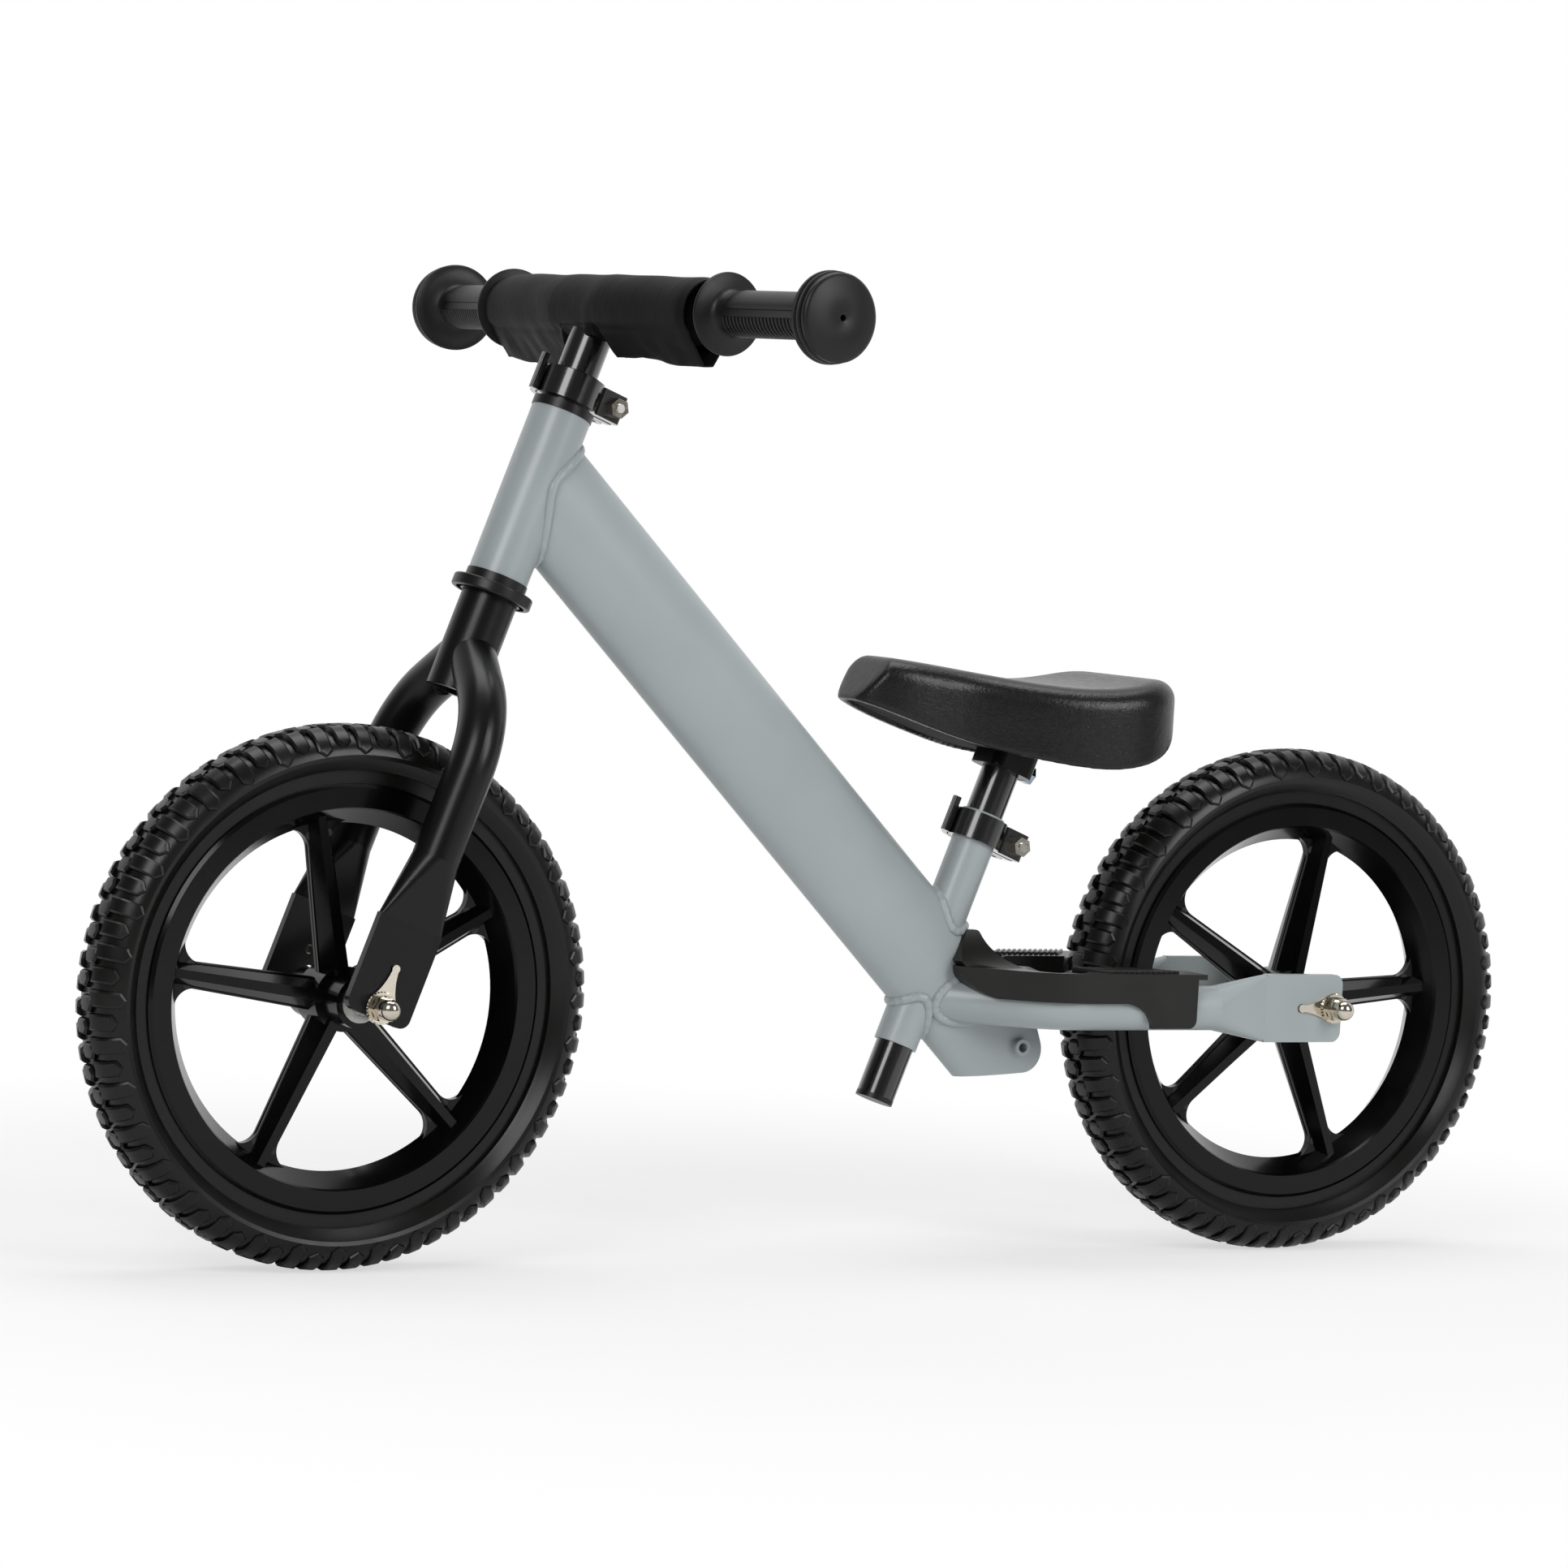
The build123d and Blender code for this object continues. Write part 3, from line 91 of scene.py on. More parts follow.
def joinSurface(tree, shader, tone, gloss, bump=None):
    tree.links.new(tone.outputs["Color"], shader.inputs["Base Color"])
    tree.links.new(gloss.outputs["Result"], shader.inputs["Roughness"])
    if bump:
        tree.links.new(bump.outputs["Normal"], shader.inputs["Normal"])


# Paint on steel tube: powder coat is satin with a faint orange peel, enamel is glossier and flatter
def tubePaint(name, low, high, rough, peel, coat, coatRough, shine=0.5):
    material, tree, shader, place = newMaterial(name, Coat_Weight=coat, Coat_Roughness=coatRough, IOR=1.5,
                                                Specular_IOR_Level=shine)
    drift = addNode(tree, "ShaderNodeTexNoise", {"Vector": place, "Scale": 1 / (60 * mm), "Detail": 2.0})
    skin = addNode(tree, "ShaderNodeTexNoise", {"Vector": place, "Scale": 1 / (1.8 * mm), "Detail": 3.0})
    tone = addNode(tree, "ShaderNodeMixRGB", {"Fac": drift.outputs["Fac"], "Color1": linear(low),
                                              "Color2": linear(high)})
    gloss = addNode(tree, "ShaderNodeMapRange", {"Value": drift.outputs["Fac"], "To Min": rough - 0.06,
                                                 "To Max": rough + 0.07})
    bump = addNode(tree, "ShaderNodeBump", {"Height": skin.outputs["Fac"], "Strength": peel,
                                            "Distance": 0.06 * mm})
    joinSurface(tree, shader, tone, gloss, bump)
    return material


# Bright plating over turned steel: a little haze breaks the mirror
def plating(name, low, high, rough):
    material, tree, shader, place = newMaterial(name, Metallic=1.0)
    haze = addNode(tree, "ShaderNodeTexNoise", {"Vector": place, "Scale": 1 / (3 * mm), "Detail": 4.0})
    tone = addNode(tree, "ShaderNodeMixRGB", {"Fac": haze.outputs["Fac"], "Color1": linear(low),
                                              "Color2": linear(high)})
    gloss = addNode(tree, "ShaderNodeMapRange", {"Value": haze.outputs["Fac"], "To Min": rough - 0.05,
                                                 "To Max": rough + 0.1})
    joinSurface(tree, shader, tone, gloss)
    return material


# Injection moulding: faint flow marks in the gloss and a fine pebble where the mould was etched
def moulded(name, low, high, rough, pebble, depth, shine=0.5, coat=0.0):
    material, tree, shader, place = newMaterial(name, IOR=1.46, Specular_IOR_Level=shine, Coat_Weight=coat,
                                                Coat_Roughness=0.12)
    flow = addNode(tree, "ShaderNodeTexNoise", {"Vector": place, "Scale": 1 / (35 * mm), "Detail": 3.0,
                                                "Distortion": 0.6})
    grit = addNode(tree, "ShaderNodeTexNoise", {"Vector": place, "Scale": 1 / (pebble * mm), "Detail": 2.0})
    tone = addNode(tree, "ShaderNodeMixRGB", {"Fac": flow.outputs["Fac"], "Color1": linear(low),
                                              "Color2": linear(high)})
    gloss = addNode(tree, "ShaderNodeMapRange", {"Value": flow.outputs["Fac"], "To Min": rough - 0.08,
                                                 "To Max": rough + 0.1})
    bump = addNode(tree, "ShaderNodeBump", {"Height": grit.outputs["Fac"], "Strength": depth,
                                            "Distance": 0.15 * mm})
    joinSurface(tree, shader, tone, gloss, bump)
    return material


# Moulded polyurethane skin with a leather grain: small cells, soft sheen on the rounded edges
def grainedSkin(name, low, high):
    material, tree, shader, place = newMaterial(name, IOR=1.48, Specular_IOR_Level=0.42, Sheen_Weight=0.02,
                                                Sheen_Roughness=0.4)
    cells = addNode(tree, "ShaderNodeTexVoronoi", {"Vector": place, "Scale": 1 / (2.4 * mm)},
                    feature="DISTANCE_TO_EDGE")
    folds = addNode(tree, "ShaderNodeTexNoise", {"Vector": place, "Scale": 1 / (4 * mm), "Detail": 4.0})
    drift = addNode(tree, "ShaderNodeTexNoise", {"Vector": place, "Scale": 1 / (45 * mm), "Detail": 2.0})
    grain = addNode(tree, "ShaderNodeMath", {0: cells.outputs["Distance"], 1: folds.outputs["Fac"]},
                    operation="ADD")
    tone = addNode(tree, "ShaderNodeMixRGB", {"Fac": drift.outputs["Fac"], "Color1": linear(low),
                                              "Color2": linear(high)})
    gloss = addNode(tree, "ShaderNodeMapRange", {"Value": folds.outputs["Fac"], "To Min": 0.24,
                                                 "To Max": 0.42})
    bump = addNode(tree, "ShaderNodeBump", {"Height": grain.outputs["Value"], "Strength": 0.4,
                                            "Distance": 0.35 * mm})
    joinSurface(tree, shader, tone, gloss, bump)
    return material


# Plain-woven nylon, matt with a slight bloom; threads are drawn at 0.9 mm so that they show
def wovenNylon(name, low, high):
    material, tree, shader, place = newMaterial(name, IOR=1.5, Specular_IOR_Level=0.16, Sheen_Weight=0.01,
                                                Sheen_Roughness=0.5)
    wave = {"Vector": place, "Scale": 1 / (0.9 * mm) / 20, "Distortion": 0.4}
    warp = addNode(tree, "ShaderNodeTexWave", wave, bands_direction="Y")
    weft = addNode(tree, "ShaderNodeTexWave", wave, bands_direction="DIAGONAL")
    weave = addNode(tree, "ShaderNodeMath", {0: warp.outputs["Fac"], 1: weft.outputs["Fac"]},
                    operation="MULTIPLY")
    drift = addNode(tree, "ShaderNodeTexNoise", {"Vector": place, "Scale": 1 / (25 * mm), "Detail": 3.0})
    tone = addNode(tree, "ShaderNodeMixRGB", {"Fac": drift.outputs["Fac"], "Color1": linear(low),
                                              "Color2": linear(high)})
    gloss = addNode(tree, "ShaderNodeMapRange", {"Value": drift.outputs["Fac"], "To Min": 0.55,
                                                 "To Max": 0.75})
    bump = addNode(tree, "ShaderNodeBump", {"Height": weave.outputs["Value"], "Strength": 0.18,
                                            "Distance": 0.25 * mm})
    joinSurface(tree, shader, tone, gloss, bump)
    return material


greyCoat = tubePaint("satin powder coat grey", "#9AA2A4", "#A6AEAF", 0.38, 0.08, 0.25, 0.22)
blackCoat = tubePaint("satin powder coat black", "#070709", "#0C0C0D", 0.3, 0.05, 0.08, 0.2, 0.26)
blackEnamel = tubePaint("gloss enamel black", "#050506", "#08080A", 0.22, 0.01, 0.9, 0.08)
nickel = plating("nickel plated steel", "#C4BCAC", "#E0D9CB", 0.1)
zinc = plating("blue zinc plated steel", "#9FB0BE", "#C2D0DB", 0.2)
steel = plating("turned bright steel", "#A8A8A6", "#C4C4C0", 0.26)
rimPlastic = moulded("glass filled nylon black", "#040405", "#080809", 0.17, 1.2, 0.03, 0.18, 0.16)
treadFoam = moulded("moulded EVA foam", "#090908", "#0F0E0D", 0.3, 0.9, 0.08, 0.38)
gripRubber = moulded("moulded rubber", "#0D0D0D", "#141413", 0.42, 0.8, 0.08, 0.4)
coverPlastic = moulded("textured polypropylene", "#171615", "#1F1E1D", 0.36, 0.7, 0.12, 0.42)
trimPlastic = moulded("black polypropylene", "#0A0A0B", "#101011", 0.34, 0.8, 0.05, 0.45)
panPlastic = moulded("matt polypropylene", "#060606", "#0A0A0A", 0.7, 0.8, 0.1, 0.12)
markPlastic = moulded("scuffed nylon", "#2C2C2D", "#383839", 0.45, 0.6, 0.1, 0.3)
saddleSkin = grainedSkin("grained polyurethane skin", "#0B0A0A", "#121110")
padCloth = wovenNylon("woven nylon", "#08080A", "#0F0F11")
foamCore = moulded("open cell foam", "#060607", "#0A0A0B", 0.8, 1.5, 0.5, 0.1)

finishes = {
    greyCoat: ["head_tube", "down_tube", "seat_tube", "tail_boss", "chainstay_left", "chainstay_right"],
    blackCoat: ["steerer", "fork_leg_left", "fork_leg_right", "crossbar", "saddle_bracket"],
    blackEnamel: ["bar_collar", "bar_collar_lever", "seat_collar", "seat_collar_lever", "seat_post",
                  "stem"],
    nickel: ["front_washers", "rear_washers", "front_axle_nuts", "rear_axle_nuts", "bar_collar_nut",
             "seat_collar_nut"],
    zinc: ["bracket_screw"],
    steel: ["bar_collar_skewer", "seat_collar_skewer", "bar_collar_pin", "seat_collar_pin", "front_axle",
            "rear_axle", "front_spacers", "rear_spacers", "front_bearings", "rear_bearings"],
    rimPlastic: ["front_rim", "rear_rim"],
    treadFoam: ["front_tyre", "rear_tyre"],
    gripRubber: ["grip_left", "grip_right"],
    coverPlastic: ["footrest"],
    trimPlastic: ["upper_cup", "lower_cup", "crown_ring", "post_plug"],
    panPlastic: ["saddle_pan"],
    saddleSkin: ["saddle_cushion"],
    padCloth: ["pad_foam", "pad_cover"],
}
for material, names in finishes.items():
    for name in names:
        nodes[name].data.materials.clear()
        nodes[name].data.materials.append(material)
print("materials set on the packed nodes")


def finishPiece(bm, name, material, body, smooth=True):
    mesh = bpy.data.meshes.new(name)
    bm.to_mesh(mesh)
    bm.free()
    for face in mesh.polygons:
        face.use_smooth = smooth
    mesh.materials.append(material)
    piece = bpy.data.objects.new(name, mesh)
    bpy.context.scene.collection.objects.link(piece)
    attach(piece, body)
    return piece


def facesOf(verts):
    return list(dict.fromkeys(face for vert in verts for face in vert.link_faces))


def edgesOf(verts):
    return list(dict.fromkeys(edge for vert in verts for edge in vert.link_edges))


# Foam tyre: smooth carcass with rows of arrow-ended shoulder lugs and hexagonal centre knobs
tyre = {
    "section": [(147, 0), (146.8, 5.5), (145.9, 10.8), (144, 15.4), (140.7, 19.3), (137, 21.5),
                (134.2, 22.1), (131.9, 21.5), (129.6, 19.6), (127.2, 17.0), (125.6, 15.4)],
    "seat": [(125.5, 12.5), (118.1, 12.5), (118.1, 9.5), (114.6, 8.5)],  # groove, then the rim seat
    "steps": 144,
    "tiles": 36,
    "lugs": [(0.0, 6.5, 28.4), (0.5, 6.5, 24.0)],  # share of a tile, start and end along the section
    "stagger": 0.25,  # how far the right row runs ahead of the left one
    "knobs": [(0.125, 2.6), (0.625, -2.6)],  # share of a tile, shift off the middle
    "lugCells": (5, 2),  # along and across; the last cell at each end is pointed or notched
    "lugWidth": 10.0,
    "knobWidth": 9.6,
    "knobReach": 6.6,
    "knobPoint": 2.4,
    "height": 3.0,
    "fade": (9.0, 29.0, 0.62),  # where the lugs start and stop getting lower, and by how much
    "chamfer": 1.1,
    "draft": (0.95, 0.88),  # how much a lug narrows to its top, along and across
    "point": 3.2,
    "notch": -1.6,
    "sink": 0.8,
    "crispAngle": math.radians(24),
}


def sectionAt(run):
    points = tyre["section"]
    side = 1 if run >= 0 else -1
    left = abs(run)
    for (r0, y0), (r1, y1) in zip(points, points[1:]):
        length = math.hypot(r1 - r0, y1 - y0)
        if left <= length or (r1, y1) == points[-1]:
            share = left / length
            radius, wide = r0 + (r1 - r0) * share, y0 + (y1 - y0) * share
            return radius, wide * side, (y1 - y0) / length, -(r1 - r0) / length * side
        left -= length


def addBlock(bm, middle, start, end, width, endPoint, startPoint, side):
    cells, rows = tyre["lugCells"]
    made = bmesh.ops.create_grid(bm, x_segments=cells, y_segments=rows, size=0.5)
    for vert in made["verts"]:
        share = vert.co.x + 0.5
        run = start + (end - start) * share
        edge = abs(vert.co.y) * 2
        run -= endPoint * edge * max(0, share * cells - (cells - 1))
        run += startPoint * edge * max(0, 1 - share * cells)
        vert.co = (run * side, middle + vert.co.y * width, -tyre["sink"])
    grown = bmesh.ops.extrude_face_region(bm, geom=facesOf(made["verts"]))["geom"]
    top = [g for g in grown if isinstance(g, bmesh.types.BMVert)]
    bmesh.ops.translate(bm, verts=top, vec=(0, 0, tyre["height"] + tyre["sink"]))
    centre = Vector(((start + end) / 2 * side, middle, 0))
    alongDraft, acrossDraft = tyre["draft"]
    for vert in top:
        vert.co.x = centre.x + (vert.co.x - centre.x) * alongDraft
        vert.co.y = centre.y + (vert.co.y - centre.y) * acrossDraft
    rim = [g for g in grown if isinstance(g, bmesh.types.BMEdge) and len(
        [f for f in g.link_faces if all(v in top for v in f.verts)]) == 1]
    bmesh.ops.bevel(bm, geom=rim, offset=tyre["chamfer"], segments=1, profile=0.5, affect="EDGES",
                    material=-1)


def buildTyre(end, axle):
    bm = bmesh.new()
    outer = tyre["section"] + tyre["seat"]
    ring = [bm.verts.new((0, y * mm, r * mm)) for r, y in reversed(outer)]
    ring += [bm.verts.new((0, -y * mm, r * mm)) for r, y in outer[1:]]
    edges = [bm.edges.new(pair) for pair in zip(ring, ring[1:] + ring[:1])]
    bmesh.ops.spin(bm, geom=ring + edges, cent=(0, 0, 0), axis=(0, 1, 0), angle=2 * math.pi,
                   steps=tyre["steps"], use_merge=True)
    bmesh.ops.remove_doubles(bm, verts=bm.verts, dist=0.01 * mm)
    bmesh.ops.recalc_face_normals(bm, faces=bm.faces)
    tile = bmesh.new()
    pitch = 2 * math.pi * tyre["section"][0][0] / tyre["tiles"]
    for side, offset in ((1, 0), (-1, tyre["stagger"])):
        for share, start, finish in tyre["lugs"]:
            addBlock(tile, (share + offset) * pitch, start, finish, tyre["lugWidth"], tyre["point"],
                     tyre["notch"], side)
    for share, shift in tyre["knobs"]:
        addBlock(tile, share * pitch, shift - tyre["knobReach"], shift + tyre["knobReach"],
                 tyre["knobWidth"], tyre["knobPoint"], tyre["knobPoint"], 1)
    for vert in tile.verts:
        radius, wide, outR, outY = sectionAt(vert.co.x)
        angle = vert.co.y / tyre["section"][0][0]
        full, thin, drop = tyre["fade"]
        rise = vert.co.z * (1 - drop * smoothStep(full, thin, abs(vert.co.x)) * (vert.co.z > 0))
        radius += outR * rise
        wide += outY * rise
        vert.co = (radius * math.sin(angle) * mm, wide * mm, radius * math.cos(angle) * mm)
    bmesh.ops.recalc_face_normals(tile, faces=tile.faces)
    bmesh.ops.spin(tile, geom=tile.verts[:] + tile.edges[:] + tile.faces[:], cent=(0, 0, 0), axis=(0, 1, 0),
                   angle=2 * math.pi * (tyre["tiles"] - 1) / tyre["tiles"], steps=tyre["tiles"] - 1,
                   use_duplicate=True)
    tread = bpy.data.meshes.new("tread")
    tile.to_mesh(tread)
    tile.free()
    bm.from_mesh(tread)
    bmesh.ops.translate(bm, verts=bm.verts, vec=axle)
    piece = finishPiece(bm, end + "Tread", treadFoam, end + "_wheel")
    crisp = piece.modifiers.new("crisp lugs", "EDGE_SPLIT")
    crisp.split_angle = tyre["crispAngle"]
    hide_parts(end + "_tyre")
    print(end, "tyre made:", len(piece.data.polygons), "faces")


buildTyre("front", frontAxle)
buildTyre("rear", rearAxle)


# Weld beads: run round each joint where one tube's wall comes out of another
weld = {
    "bead": 2.9,
    "headRadius": 17.0,
    "tubeHigh": 31.75,
    "tubeWide": 16.7,
    "tailWide": 7.5,
    "tailRun": 120.0,
    "seatRadius": 12.7,
    "stayRadius": 13.0,
    "stayRoot": (-15.0, 3.0),
    "downTop": 305.8,  # along the steering line from the axle
    "downLow": 22.0,  # along the seat tube from its foot
    "headReach": 80.0,  # each search for a wall starts inside the tube and ends this far out
    "seatReach": 120.0,
    "stayReach": 60.0,
    "ripple": (0.1, 2.1),  # share of the bead, and radians from one point to the next
    "steps": 64,
}
downTop = frontAxle + headUp * weld["downTop"] * mm
downLow = seatFoot + seatUp * weld["downLow"] * mm
downAlong = (downLow - downTop).normalized()
downRun = (downLow - downTop).length
downNormal = Vector((-downAlong.z, 0, downAlong.x))


def insideDownTube(spot):
    offset = spot - downTop
    run = offset.dot(downAlong)
    taper = min(1, max(0, (run - downRun) / (weld["tailRun"] * mm)))
    wide = weld["tubeWide"] + (weld["tailWide"] - weld["tubeWide"]) * taper
    return math.hypot(offset.dot(downNormal) / weld["tubeHigh"], spot.y / wide) < mm


def insideHead(spot):
    offset = spot - frontAxle
    return math.hypot(offset.dot(headForward), offset.y) < weld["headRadius"] * mm


def leavePoint(start, direction, inside, far):
    low, high = 0.0, far
    for step in range(24):
        middle = (low + high) / 2
        if inside(start + direction * middle):
            low = middle
        else:
            high = middle
    return start + direction * low


def layBead(name, spots):
    curve = bpy.data.curves.new(name, "CURVE")
    curve.dimensions = "3D"
    spline = curve.splines.new("NURBS")
    spline.points.add(len(spots) - 1)
    ripple, pace = weld["ripple"]
    for index, (point, spot) in enumerate(zip(spline.points, spots)):
        point.co = (*spot, 1)
        point.radius = 1 + ripple * math.sin(index * pace)
    spline.use_cyclic_u = True
    spline.order_u = 3
    spline.resolution_u = 2
    curve.bevel_depth = weld["bead"] * mm
    curve.bevel_resolution = 3
    holder = bpy.data.objects.new(name + "Line", curve)
    mesh = bpy.data.meshes.new_from_object(holder)
    bm = bmesh.new()
    bm.from_mesh(mesh)
    bpy.data.objects.remove(holder)
    bmesh.ops.remove_doubles(bm, verts=bm.verts, dist=0.01 * mm)
    bmesh.ops.recalc_face_normals(bm, faces=bm.faces)
    finishPiece(bm, name, greyCoat, "frame")


turns = [2 * math.pi * step / weld["steps"] for step in range(weld["steps"])]
spots = []
for turn in turns:
    rim = downNormal * math.cos(turn) * weld["tubeHigh"] * mm
    rim += across * math.sin(turn) * weld["tubeWide"] * mm
    spots.append(leavePoint(downTop + rim, downAlong, insideHead, weld["headReach"] * mm))
layBead("headWeld", spots)
for name, direction in (("seatWeldTop", 1), ("seatWeldLow", -1)):
    spots = []
    for turn in turns:
        rim = (seatForward * math.cos(turn) + across * math.sin(turn)) * weld["seatRadius"] * mm
        spots.append(leavePoint(downLow + rim, seatUp * direction, insideDownTube, weld["seatReach"] * mm))
    layBead(name, spots)
for name, side in (("stayWeldLeft", 1), ("stayWeldRight", -1)):
    root = seatFoot + Vector((weld["stayRoot"][0], weld["stayRoot"][1] * side, 0)) * mm
    outward = Vector((-1, side, 0)).normalized()
    flat = Vector((-1, -side, 0)).normalized()
    spots = []
    for turn in turns:
        rim = (flat * math.cos(turn) + upright * math.sin(turn)) * weld["stayRadius"] * mm
        spots.append(leavePoint(root + rim, outward, insideDownTube, weld["stayReach"] * mm))
    layBead(name, spots)
print("weld beads laid")


# Handlebar line: straight middle, both ends swept back
bar = {"centreHeight": 408.6, "straight": 25.0, "bend": 16.0, "sweep": math.radians(6)}
barCentre = frontAxle + headUp * bar["centreHeight"] * mm


def barAt(run):
    side = 1 if run >= 0 else -1
    beyond = max(0, abs(run) - bar["straight"])
    arm = Vector((-math.sin(bar["sweep"]), side * math.cos(bar["sweep"]), 0))
    spot = barCentre + across * side * min(abs(run), bar["straight"]) * mm + arm * beyond * mm
    share = min(1, max(0, (abs(run) - bar["straight"] + bar["bend"] / 2) / bar["bend"]))
    turn = bar["sweep"] * share
    along = Vector((-math.sin(turn) * side, math.cos(turn), 0))
    return spot, along.cross(upright)


# Moulded grip: two flanges, plain raised panel on top, fine ribs underneath, stepped end cap
grip = {
    "turned": [(9.6, 96.9), (21.8, 96.9), (22.6, 97.3), (22.75, 98), (22.4, 98.8), (20, 99.6),
               (14.4, 100.5), (12.6, 101.9), (11.6, 104), (11.1, 107.9), (11.1, 181.5), (12, 184.6),
               (13.6, 186.2), (20, 187.2), (23.8, 187.7), (24.9, 188.7), (24.9, 190.2), (24.3, 190.8),
               (23.3, 191.1), (23.3, 191.7), (24.2, 192), (24.6, 192.6), (24.6, 193.6), (24, 194.2),
               (22.8, 194.5), (22.8, 195.1), (23.5, 195.4), (23.9, 196), (23.9, 197.9), (23.2, 199),
               (21.6, 199.7), (12, 200.9), (3, 201.5), (1.8, 201), (1.8, 195.7), (9.6, 195.6)],
    "steps": 72,
    "foot": 10.6,  # ribs and panel start inside the rubber
    "ribs": 23,
    "ribStart": 107.9,
    "ribEnd": 181.5,
    "ribHigh": 12.5,
    "ribFrom": math.radians(188),
    "ribTurn": math.radians(164),
    "ribSteps": 20,
    "ribRound": 0.3,
    "ribWidths": (0.36, 0.32, 0.12),  # half widths at foot, shoulder and top, in shares of the pitch
    "panel": (109.4, 180.5),
    "panelHigh": 13.1,
    "panelFrom": math.radians(14),
    "panelTurn": math.radians(152),
    "panelCells": (24, 12),
    "cellSize": (1.2, 5.1),
    "panelEdge": 1.6,  # how far in the panel reaches its full height
    "panelStep": 0.55,  # share of that height at its very edge
    "crispAngle": math.radians(38),
}


def buildGrip(name, node, side):
    bm = bmesh.new()
    ring = [bm.verts.new((r * mm, 0, z * mm)) for r, z in grip["turned"]]
    edges = [bm.edges.new(pair) for pair in zip(ring, ring[1:] + ring[:1])]
    bmesh.ops.spin(bm, geom=ring + edges, cent=(0, 0, 0), axis=(0, 0, 1), angle=2 * math.pi,
                   steps=grip["steps"], use_merge=True)
    bmesh.ops.remove_doubles(bm, verts=bm.verts, dist=0.005 * mm)
    pitch = (grip["ribEnd"] - grip["ribStart"]) / grip["ribs"]
    low, ribTop = grip["foot"], grip["ribHigh"]
    half = list(zip((low, ribTop - grip["ribRound"], ribTop), grip["ribWidths"]))
    shape = [(r, -wide) for r, wide in half] + half[::-1]
    for index in range(grip["ribs"]):
        middle = grip["ribStart"] + (index + 0.5) * pitch
        corners = [bm.verts.new((r * mm, 0, (middle + z * pitch) * mm)) for r, z in shape]
        bmesh.ops.rotate(bm, verts=corners, cent=(0, 0, 0), matrix=Matrix.Rotation(grip["ribFrom"], 3, "Z"))
        face = bm.faces.new(corners)
        bmesh.ops.spin(bm, geom=corners + list(face.edges) + [face], cent=(0, 0, 0), axis=(0, 0, 1),
                       angle=grip["ribTurn"], steps=grip["ribSteps"])
    cellsX, cellsY = grip["panelCells"]
    sizeX, sizeY = grip["cellSize"]
    made = bmesh.ops.create_grid(bm, x_segments=cellsX, y_segments=cellsY, size=0.5)["verts"]
    grown = bmesh.ops.extrude_face_region(bm, geom=facesOf(made))["geom"]
    top = {g for g in grown if isinstance(g, bmesh.types.BMVert)}
    start, end = grip["panel"]
    step = grip["panelStep"]
    for vert in list(made) + list(top):
        shareX, shareY = vert.co.x + 0.5, vert.co.y + 0.5
        turn = grip["panelFrom"] + grip["panelTurn"] * shareX
        edge = min(shareX, 1 - shareX) * cellsX * sizeX, min(shareY, 1 - shareY) * cellsY * sizeY
        rise = step + (1 - step) * min(1, min(edge) / grip["panelEdge"])
        high = low + (grip["panelHigh"] - low) * rise if vert in top else low
        run = start + (end - start) * shareY
        vert.co = (high * mm * math.cos(turn), high * mm * math.sin(turn), run * mm)
    bend = barCentre + across * side * bar["straight"] * mm
    arm = Vector((-math.sin(bar["sweep"]), side * math.cos(bar["sweep"]), 0))
    frontWards = Vector((arm.y, -arm.x, 0)) * side
    place = Matrix((-frontWards, upright, arm)).transposed().to_4x4()
    bmesh.ops.transform(bm, matrix=Matrix.Translation(bend) @ place, verts=bm.verts)
    bmesh.ops.recalc_face_normals(bm, faces=bm.faces)
    piece = finishPiece(bm, name, gripRubber, "handlebar")
    crisp = piece.modifiers.new("crisp steps", "EDGE_SPLIT")
    crisp.split_angle = grip["crispAngle"]
    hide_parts(node)


buildGrip("leftGrip", "grip_left", 1)
buildGrip("rightGrip", "grip_right", -1)
print("grips made")


# Bar pad: foam round the bar inside a nylon cover that folds down in two loose flaps beside the stem
pad = {
    "ends": (-120.5, 107.5),  # the far end touches its grip, the near one stops short
    "coverCells": (150, 96),
    "foamCells": (60, 40),
    "foam": 17.6,
    "foamInset": 4.0,
    "foamDraw": (2.4, 9.0),  # the foam's ends draw in by this much, starting this far from the cover's end
    "round": 19.6,
    "endDraw": (1.2, 7.0),  # the same for the cover
    "endSlack": 0.9,
    "flap": 30.5,
    "hemWave": (0.8, 0.09),  # swing of the lower hem, and radians of it to the millimetre
    "hemDrift": (1.2, 0.06),  # its uneven part, and how fast that changes
    "nearCorner": (3.5, 40.0),  # the near corner hangs this much lower, starting here
    "farCorner": (3.0, -90.0),  # the far corner is lifted this much, starting here
    "nearLift": (5.0, 10.0, 25.0),  # the near flap hangs this much less, growing from here to here
    "stemGap": (-14.0, 22.0),  # the cover is cut away here for the stem
    "gapEase": 2.5,
    "stemEdge": 14.5,
    "fold": 2.6,
    "stemBulge": (13.2, 20.0, 12.5),  # half width over the stem, and where the flap starts and ends widening
    "arc": math.radians(112),
    "arcShare": 0.6,
    "wrinkle": 1.2,
    "wrinkleMix": (0.8, 0.6, 0.9),  # shares of folds, slack and crumple
    "foldCentre": 6.0,
    "foldCount": 5,
    "foldReach": 30.0,
    "girth": 46.0,  # along the cloth from the top of the roll to the hem
    "crumpleFrom": (0.5, 0.9),
    "seam": (0.6, 0.68, 0.025),  # depth, then place and width in shares of the girth
    "wall": 0.9,
}
farEnd, nearEnd = pad["ends"]


